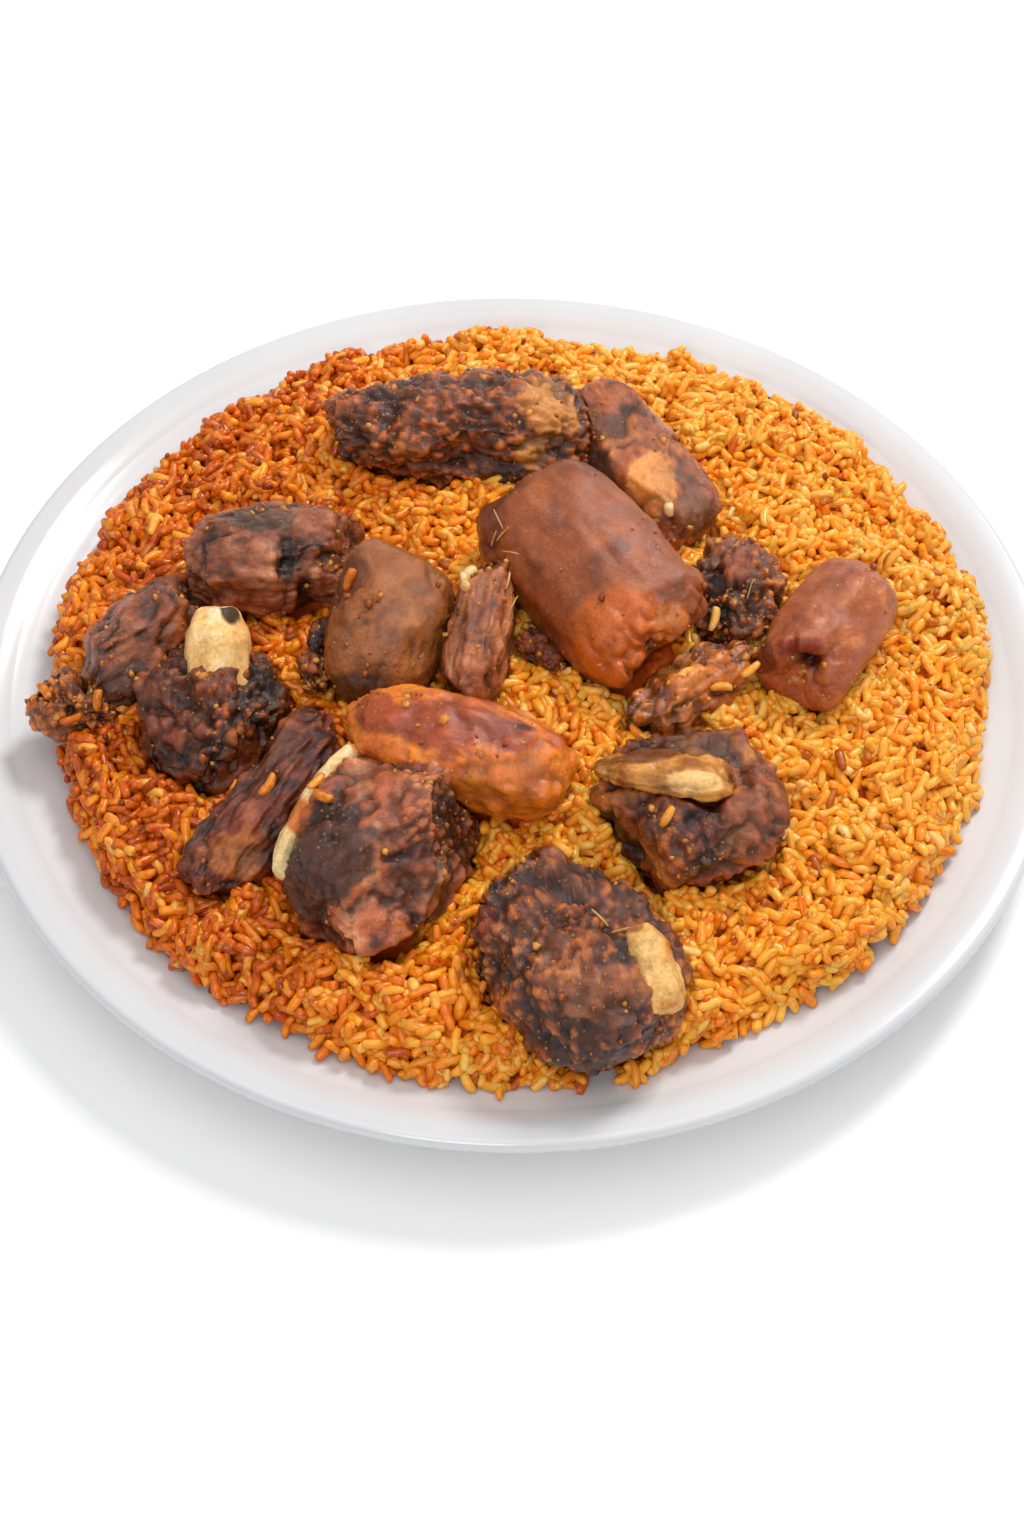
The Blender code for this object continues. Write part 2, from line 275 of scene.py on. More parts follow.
# %% The plate's form
plate_high = np.array(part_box("plate")[1])
PLATE_RADIUS, PLATE_HEIGHT = plate_high[0] - 0.01 * MM, plate_high[2]
WELL_RADIUS, WELL_FLOOR = 96 * MM, 7.5 * MM
LIP_WIDTH, LIP_DIP, LIP_THICKNESS = 13 * MM, 3.5 * MM, 4.6 * MM
FOOT_RADIUS, FOOT_WIDTH, FOOT_DEPTH = 92 * MM, 6 * MM, 2.5 * MM
SLOPE_CURVE = 1.55
TURNS = 256


def plate_top(radius):
    """Height of the eating surface: the well's floor, plus the slope's rise to the power SLOPE_CURVE."""
    share = np.clip((radius - WELL_RADIUS) / (PLATE_RADIUS - LIP_WIDTH - WELL_RADIUS), 0, 1)
    return WELL_FLOOR + (PLATE_HEIGHT - LIP_DIP - WELL_FLOOR) * share**SLOPE_CURVE


def eased(points, steps):
    """A smooth run through a few profile points: straight steps, then softened by averaging neighbours."""
    points = np.array(points)
    at = np.linspace(0, len(points) - 1, steps)
    run = np.stack([np.interp(at, np.arange(len(points)), points[:, i]) for i in (0, 1)], axis=1)
    for _ in range(steps // 3):
        run[1:-1] = (run[:-2] + 2 * run[1:-1] + run[2:]) / 4
    return run


half_lip = LIP_THICKNESS / 2
angles = np.radians(np.linspace(-80, 90, 18))
bead = np.stack([np.cos(angles), np.sin(angles)], axis=1) * half_lip
bead += [PLATE_RADIUS - half_lip, PLATE_HEIGHT - half_lip]
slope_r = np.linspace(PLATE_RADIUS - LIP_WIDTH, 2 * MM, 60)
lip_steps = [(5, 0.15), (7.6, 0.7), (10.5, 2.1)]
lip_steps = [(PLATE_RADIUS - inward * MM, PLATE_HEIGHT - down * MM) for inward, down in lip_steps]
lip_run = eased([bead[-1], *lip_steps, (slope_r[0], plate_top(slope_r[0]))], 20)
under_steps = [
    (FOOT_RADIUS + 1.2 * MM, FOOT_DEPTH), (PLATE_RADIUS - 36 * MM, 9.5 * MM),
    (PLATE_RADIUS - LIP_WIDTH, PLATE_HEIGHT - 8.5 * MM),
]
under = eased([*under_steps, bead[0]], 28)
foot_inside = FOOT_RADIUS - FOOT_WIDTH
foot = [
    (2 * MM, FOOT_DEPTH), (foot_inside - 1.5 * MM, FOOT_DEPTH), (foot_inside, FOOT_DEPTH * 0.7),
    (foot_inside + 0.8 * MM, 0.0), (FOOT_RADIUS, 0.0), (FOOT_RADIUS + 0.7 * MM, FOOT_DEPTH * 0.6),
]
slope = np.stack([slope_r, plate_top(slope_r)], axis=1)
profile = np.concatenate([foot, under, bead[1:-1], lip_run, slope[1:]])
turn = np.arange(TURNS) * math.tau / TURNS
out, up = profile[:, :1], np.repeat(profile[:, 1:], TURNS, axis=1)
plate_grid = np.stack([out * np.cos(turn), out * np.sin(turn), up], axis=-1)
plate = closed_object("plate_glazed", plate_grid, (0, 0, FOOT_DEPTH), (0, 0, WELL_FLOOR))
print("plate", len(profile), "profile points,", len(plate.data.polygons), "faces")

# %% [markdown]
# The glaze is a hard, clear, slightly uneven glass over a white body: a low roughness, the index of
# ordinary glass, and a very faint waviness left by the wheel, in rings a few millimetres apart.

# %% White glaze
RING_GAP, RING_DRIFT, RING_HEIGHT, TONE_SIZE = 4.5 * MM, 9 * MM, 0.05 * MM, 60 * MM
glaze, tree, shader, spot = new_material("white glazed stoneware", Roughness=0.16, IOR=1.5)
flat = add(tree, "VectorMath", {1: (1, 1, 0)}, {0: spot}, operation="MULTIPLY").outputs[0]
reach = add(tree, "VectorMath", links={0: flat}, operation="LENGTH").outputs["Value"]
ring = add(tree, "Math", {1: math.tau / RING_GAP}, {0: reach}, operation="MULTIPLY").outputs[0]
ring = add(tree, "Math", links={0: ring}, operation="SINE").outputs[0]
drift = add(tree, "TexNoise", {"Scale": 1 / RING_DRIFT, "Detail": 1}, {"Vector": spot}).outputs["Fac"]
waves = add(tree, "Math", links={0: ring, 1: drift}, operation="MULTIPLY").outputs[0]
swell = add(tree, "Bump", {"Strength": 0.5, "Distance": RING_HEIGHT}, {"Height": waves})
tree.links.new(swell.outputs["Normal"], shader.inputs["Normal"])
tone = add(tree, "TexNoise", {"Scale": 1 / TONE_SIZE, "Detail": 2}, {"Vector": spot}).outputs["Fac"]
white = add(tree, "ValToRGB", links={"Fac": tone}, stops=[(0.3, "D4D4D6"), (0.7, "DADADB")])
tree.links.new(white.outputs["Color"], shader.inputs["Base Color"])
finished(plate, glaze, "plate", slot="glazed_stoneware")

# %% [markdown]
# ## Measuring the heap
# The heap's solid has hollows where the meat lies. A ray dropped on it every millimetre or so
# gives the height up to which the rice must come, and the steps between are filled in evenly.

# %% The height that the rice comes up to
CELL = 0.6 * MM
HALF_SPAN = 156 * MM
SIDE = round(2 * HALF_SPAN / CELL) + 1
SURVEY = 1.2 * MM


def tree_of(node):
    """A search tree over a node's triangles."""
    mesh = frame["nodes"][node].data
    mesh.calc_loop_triangles()
    return BVHTree.FromPolygons([v.co for v in mesh.vertices], [t.vertices for t in mesh.loop_triangles])


def survey(node):
    """The highest point of a node over each cell of the map, and the plate where there is none."""
    ground = tree_of(node)
    steps = round(2 * HALF_SPAN / SURVEY) + 1
    coarse = np.zeros((steps, steps))
    for i, j in np.ndindex(steps, steps):
        above = Vector((i * SURVEY - HALF_SPAN, j * SURVEY - HALF_SPAN, 1))
        hit = ground.ray_cast(above, Vector((0, 0, -1)))[0]
        coarse[i, j] = hit.z if hit else 0
    at = np.arange(SIDE) * CELL / SURVEY
    low = np.minimum(at.astype(int), steps - 2)
    part = at - low
    rows = coarse[low] * (1 - part)[:, None] + coarse[low + 1] * part[:, None]
    return rows[:, low] * (1 - part) + rows[:, low + 1] * part


axis = np.arange(SIDE) * CELL - HALF_SPAN
map_x, map_y = np.meshgrid(axis, axis, indexing="ij")
map_radius = np.hypot(map_x, map_y)
dish = plate_top(map_radius)
heap = survey("rice")
inside = heap > dish + 1 * MM
heap = np.where(inside, heap, 0)
print("heap covers", round(inside.mean() * (2 * HALF_SPAN) ** 2 * 1e4), "cm2, up to", heap.max())

# %% [markdown]
# ## The form of a morsel
# Each solid is a coarse, faceted lump. Its fine surface is worked out as a reach: from a point inside,
# how far away the skin is in every direction. The reach is measured against the solid in some twenty-four
# hundred evenly spread directions, and every direction of the fine grid then takes the mean of its
# neighbours', weighted by a bell curve. That rounds the facets off and keeps cuts, hollows and bulges.

# %% A morsel's surface from its solid
PROBES = 2400
BLUR_DEGREES = 4


def spread(count):
    """Evenly spread directions: equal steps in height, turned by the golden angle."""
    height = 1 - 2 * (np.arange(count) + 0.5) / count
    angle = np.arange(count) * math.pi * (3 - math.sqrt(5))
    flat = np.sqrt(1 - height**2)
    return np.stack([flat * np.cos(angle), flat * np.sin(angle), height], axis=1)


def solid_of(node):
    """A node's vertices and triangles as arrays."""
    mesh = frame["nodes"][node].data
    mesh.calc_loop_triangles()
    points = np.array([v.co for v in mesh.vertices])
    return points, np.array([t.vertices for t in mesh.loop_triangles])


def own_axes(points, triangles):
    """A solid's middle and its long, middle and short axes, from how its skin is spread about the middle."""
    a, b, c = (points[triangles[:, i]] for i in range(3))
    area = np.linalg.norm(np.cross(b - a, c - a), axis=1)[:, None]
    centroid = (a + b + c) / 3
    middle = (centroid * area).sum(axis=0) / area.sum()
    offset = centroid - middle
    axes = np.linalg.eigh((offset * area).T @ offset)[1][:, ::-1]
    axes = axes * np.sign(axes[2] + 0.6 * axes[0] + 0.3 * axes[1])
    axes[:, 1] = np.cross(axes[:, 2], axes[:, 0])
    return middle, axes, np.abs((points - middle) @ axes).max(axis=0)


def reach_of(ways, points, triangles):
    """How far a ray from the origin goes before it last leaves the solid, for each way.

    A way passes through triangle a, b, c when it lies on the inner side of the three planes through the
    origin and each edge; the distance is the box product of a, b and c over the sum of the three sides.
    """
    a, b, c = (points[triangles[:, i]] for i in range(3))
    sides = [ways @ np.cross(p, q).T for p, q in ((b, c), (c, a), (a, b))]
    volume = np.einsum("ij,ij->i", a, np.cross(b, c))
    through = (np.minimum(np.minimum(sides[0], sides[1]), sides[2]) >= -1e-12) & (volume > 0)
    distance = np.where(through, volume / np.maximum(sum(sides), 1e-15), 0)
    return distance.max(axis=1)


def surface_grid(node, rings, around, recipe, seed):
    """A fine grid of points over a solid, with the solid's middle and axes.

    The unit directions are stretched by the solid's half sizes, so that the grid is even on a long piece.
    Each cut is a plane of its own direction that takes off what lies beyond a share of the half size, and
    the reach beyond it is the plane's distance over the cosine to it. The torn share wavers every reach.
    """
    points, triangles = solid_of(node)
    middle, axes, half = own_axes(points, triangles)
    probes = spread(PROBES)
    stretched = (probes * half) @ axes.T
    length = np.linalg.norm(stretched, axis=1)
    found = reach_of(stretched / length[:, None], points - middle, triangles) / length
    found = np.where(found > 0, found, np.median(found[found > 0]))
    u = (np.arange(rings) + 0.5) / rings * math.pi
    v = np.arange(around) / around * math.tau
    u, v = np.meshgrid(u, v, indexing="ij")
    unit = np.stack([np.cos(u), np.sin(u) * np.cos(v), np.sin(u) * np.sin(v)], axis=-1).reshape(-1, 3)
    unit = np.concatenate([unit, [[1, 0, 0], [-1, 0, 0]]])
    sharp = 1 / math.radians(BLUR_DEGREES) ** 2
    weight = np.exp(sharp * (unit @ probes.T - 1))
    share = (weight @ found) / weight.sum(axis=1)
    share = share * (1 + recipe.get("torn", 0.05) * rough(unit, 0.55, seed + 5, 3))
    for way, depth in zip(spread(recipe.get("cuts", 0) + 2)[1:-1], (0.86, 0.8, 0.9, 0.83, 0.78, 0.88) * 3):
        turned = way @ Matrix.Rotation(seed, 3, (1, 2, 3))
        share = np.minimum(share, depth / np.maximum(unit @ turned, 0.05))
    return middle + (unit * half * share[:, None]) @ axes.T, middle, axes


def facing(points, rings, around):
    """The outward direction at each grid point, from the steps to its neighbours along and around."""
    grid = points[:-2].reshape(rings, around, 3)
    along = np.gradient(grid, axis=0)
    across = np.roll(grid, -1, axis=1) - np.roll(grid, 1, axis=1)
    out = np.cross(along, across).reshape(-1, 3)
    out = np.concatenate([out, [points[-2] - points[-1]], [points[-1] - points[-2]]])
    out /= np.linalg.norm(out, axis=1, keepdims=True) + 1e-12
    centre = points.mean(axis=0)
    if np.einsum("ij,ij->i", out[:-2], points[:-2] - centre).sum() < 0:
        out[:-2] *= -1
    return out


def near(points, box, at, radius):
    """1 at a spot given in shares of the piece's box, falling to 0 as a bell of a radius in mm.

    A radius of three numbers makes the bell longer or shorter along x, y and z.
    """
    spot = box[0] + (box[1] - box[0]) * np.array(at)
    return np.exp(-(((points - spot) / (np.array(radius) * MM)) ** 2).sum(axis=1))


print(PROBES, "probes a piece,", round(math.degrees(math.sqrt(4 * math.pi / PROBES)), 1), "degrees apart")

# %% [markdown]
# ## Relief and colour of meat
# Frying leaves a crust of spice and torn meat in crumbly lumps, with creases between them; stewed
# muscle shows its fibres; skin stays smooth, with pores. So each piece is given shares of the same few
# reliefs, pushed out along its own facing. The same arrays that raise the crust also colour it: crests
# catch the spice and go tan, creases and hollows get painted shade that is nearly black, the low parts
# are darkened and the high parts lightened as painted shade and light, and membranes and fat keep their
# own colours.

# %% Relief and colour


def billows(points, size, seed):
    """Rounded swellings, 0 to 1, with sharp valleys between them: the folded size of a rolling noise."""
    return np.clip(np.abs(rough(points, size, seed, 2)) / 0.4, 0, 1) ** 0.7


def relief(points, recipe, axes, seed):
    """Heights in mm from a recipe, and the arrays they were made of, for the colours to follow.

    lumps are rolling hills, crags are billows with sharp valleys, crumbs are rounded cells, fibres are
    noise stretched seven times along the piece, fine is the grain of the surface.
    """
    height = recipe.get("lumps", 0.6) * rough(points, 10 * MM, seed, 3) * 1.6
    crags = 0.62 * billows(points, 11 * MM, seed + 11) + 0.38 * billows(points, 4.5 * MM, seed + 13)
    height += recipe.get("crags", 0.5) * (crags - 0.75) * 3
    cover = smooth(-0.25, 0.25, rough(points, 13 * MM, seed + 21, 3) + recipe.get("crust", 0) * 2 - 1)
    apart, owner = cells(points + 0.5 * MM * rough(points, 2 * MM, seed, 2)[:, None], 2.3 * MM, seed + 31)
    dome = np.clip(1 - (apart / 0.7) ** 2, 0, 1) * np.clip(owner * 1.5 - 0.2, 0, 1)
    height += recipe.get("crumbs", 0.9) * cover * dome
    local = (points - points.mean(axis=0)) @ axes
    grain = rough(local / [7, 1, 1], 1.5 * MM, seed + 41, 3)
    height += recipe.get("fibres", 0.0) * grain * (1 - 0.7 * cover) * 1.4
    fine = rough(points, 1.8 * MM, seed + 51, 2)
    height += recipe.get("fine", 0.25) * fine
    return height, cover, dome, crags, grain, fine


skins = {}
KEEP_BELOW = 0.05 * MM
FRYING_OIL = np.array([1.3, 0.95, 0.52])


def coat(colour, hex_colour, mask):
    """Lays a colour over what is there, as thick as the mask."""
    return colour + (linear(hex_colour) - colour) * np.clip(mask, 0, 1)[:, None]


def morsel(node, rings, around, recipe, seed):
    """A finished morsel: its surface, its relief, and its colours and shine as attributes."""
    points, middle, axes = surface_grid(node, rings, around, recipe, seed)
    box = [np.array(corner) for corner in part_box(node)]
    sunk = np.zeros(len(points))
    for at, radius, depth in recipe.get("hollows", ()):
        dip = near(points, box, at, radius)
        sunk = np.maximum(sunk, dip)
        points = points - (points - middle) * (dip * depth)[:, None]
    out = facing(points, rings, around)
    height, cover, dome, crags, grain, fine = relief(points, recipe, axes, seed)
    for at, radius, swell in recipe.get("swells", ()):
        height += near(points, box, at, radius) * swell * (2 * billows(points, 6 * MM, seed + 95) - 0.8)
    points = points + out * (height * MM)[:, None]
    points[:, 2] = np.minimum(points[:, 2], cad_box[1][2] - KEEP_BELOW)
    up = smooth(-0.2, 0.8, out[:, 2])

    colour = np.tile(linear(recipe["base"]), (len(points), 1))
    mottle = rough(points, 6 * MM, seed + 61, 4)
    colour = coat(colour, recipe["dark"], smooth(0.0, 0.6, -mottle))
    colour = coat(colour, recipe["light"], smooth(0.05, 0.6, mottle) * 0.8)
    if recipe.get("fibres", 0):
        colour = coat(colour, recipe["dark"], smooth(0.1, 0.8, -grain) * (1 - cover) * 0.6)
        colour = coat(colour, recipe["light"], smooth(0.15, 0.8, grain) * (1 - cover) * 0.5)
    spice = cover * smooth(0.25, 0.75, dome) * smooth(-0.5, 0.4, rough(points, 5 * MM, seed + 71, 2))
    colour = coat(colour, recipe.get("spice", "A0603A"), spice * recipe.get("spiced", 0.8))
    colour = coat(colour, recipe["dark"], cover * smooth(0.35, 0.0, dome) * 0.7)
    # Painted shade: the valleys between the crags are laid nearly black, as much as the recipe's crease share
    # says.
    colour = coat(colour, "1A0D09", smooth(0.5, 0.2, crags) * recipe.get("creases", 0.6))
    for at, radius, hex_colour, strength in recipe.get("patches", ()):
        ragged = near(points, box, at, radius) + 0.22 * rough(points, 4 * MM, seed + 81, 3)
        colour = coat(colour, hex_colour, smooth(0.38, 0.55, ragged) * strength)
    # Painted shade: the hollows are laid near black, or in the recipe's hollow colour, which on the tail is
    # partly the dark red of its inside.
    colour = coat(colour, recipe.get("hollow", "140907"), smooth(0.25, 0.75, sunk))
    # Painted shade and light: the low parts of the relief are darkened, more on craggy pieces, and the high
    # parts lightened a little.
    deep = smooth(0.9, -1.1, height - np.median(height))
    colour = colour * (1.15 - (0.25 + 0.45 * min(recipe.get("crags", 0.5), 1)) * deep)[:, None]
    wet = np.clip(recipe.get("wet", 0.4) + 0.35 * rough(points, 5 * MM, seed + 91, 3) + 0.15 * up, 0, 1)

    grid = points[:-2].reshape(rings, around, 3)
    piece = closed_object(node + "_cooked", grid, points[-2], points[-1])
    skins[node] = points, facing(points, rings, around), cover
    paint(piece, "cooked", np.clip(colour * FRYING_OIL ** recipe.get("oiled", 1), 0, 1))
    paint(piece, "wet", wet)
    paint(piece, "crust", cover * recipe.get("spiced", 0.8))
    return piece

# %% [markdown]
# ## Finishes for the meat
# One maker gives three finishes. Crust, from the fryer, is rough, with a grit of spice about a
# millimetre across. Skin, from the stew, is smooth and satin, with pores. Glaze, on the golden piece and
# the tendons, is wet. All three read the colours that were laid on the surface, break them up with
# finer noise than the grid can hold, and shine where the oil lies.

# %% Cooked meat
GRIT = 1.1 * MM


def cooked_material(name, dry, oily, grit, speck, bump, coat_weight):
    """Meat: the laid colour, mottled and specked with spice, from dry to oily where it is wet."""
    made, tree, shader, spot = new_material(
        name, IOR=1.42, Specular_IOR_Level=0.25, Coat_Weight=coat_weight, Coat_Roughness=0.07, Coat_IOR=1.47
    )
    laid = [add(tree, "Attribute", attribute_name=layer).outputs for layer in ("cooked", "wet", "crust")]
    colour, wet, crust = laid[0]["Color"], laid[1]["Fac"], laid[2]["Fac"]
    gritty = {"Scale": 1 / GRIT, "Detail": 6, "Roughness": 0.7}
    fine = add(tree, "TexNoise", gritty, {"Vector": spot}).outputs["Fac"]
    tone = add(tree, "MapRange", {1: 0.25, 2: 0.75, 3: 0.62, 4: 1.4}, {"Value": fine}).outputs["Result"]
    colour = add(tree, "VectorMath", links={0: colour, 1: tone}, operation="MULTIPLY").outputs[0]
    grains = add(tree, "TexVoronoi", {"Scale": 1 / (1.5 * GRIT)}, {"Vector": spot}).outputs
    kernel = add(tree, "MapRange", {1: 0.34, 2: 0.2, 3: 0.0, 4: 1.0}, {"Value": grains["Distance"]})
    pick = add(tree, "SeparateColor", links={"Color": grains["Color"]}).outputs["Red"]
    chosen = add(tree, "MapRange", {1: 1 - grit, 2: 1.0, 3: 0.0, 4: 0.9}, {"Value": pick})
    where = add(tree, "MapRange", {3: 0.25, 4: 1.0}, {"Value": crust})
    mark = kernel.outputs["Result"]
    for share in (chosen, where):
        mark = add(tree, "Math", links={0: mark, 1: share.outputs["Result"]}, operation="MULTIPLY").outputs[0]
    mixed = add(tree, "Mix", {"B": rgba(speck)}, {"A": colour, "Factor": mark}, data_type="RGBA").outputs[2]
    tree.links.new(mixed, shader.inputs["Base Color"])
    shine = add(tree, "MapRange", {1: 0.15, 2: 0.85, 3: dry, 4: oily}, {"Value": wet}).outputs["Result"]
    tree.links.new(shine, shader.inputs["Roughness"])
    height = add(tree, "Math", {1: 1.4}, {0: mark, 2: fine}, operation="MULTIPLY_ADD").outputs[0]
    ridge = add(tree, "Bump", {"Strength": 1.0, "Distance": bump * MM}, {"Height": height})
    for normal in ("Normal", "Coat Normal"):
        tree.links.new(ridge.outputs["Normal"], shader.inputs[normal])
    return made


crust_finish = cooked_material("fried meat crust", 0.38, 0.14, 0.45, "CE8A40", 0.42, 0.75)
skin_finish = cooked_material("stewed skin", 0.4, 0.22, 0.35, "D9965C", 0.26, 0.6)
glaze_finish = cooked_material("oily golden glaze", 0.3, 0.12, 0.25, "D9A05A", 0.28, 1.0)
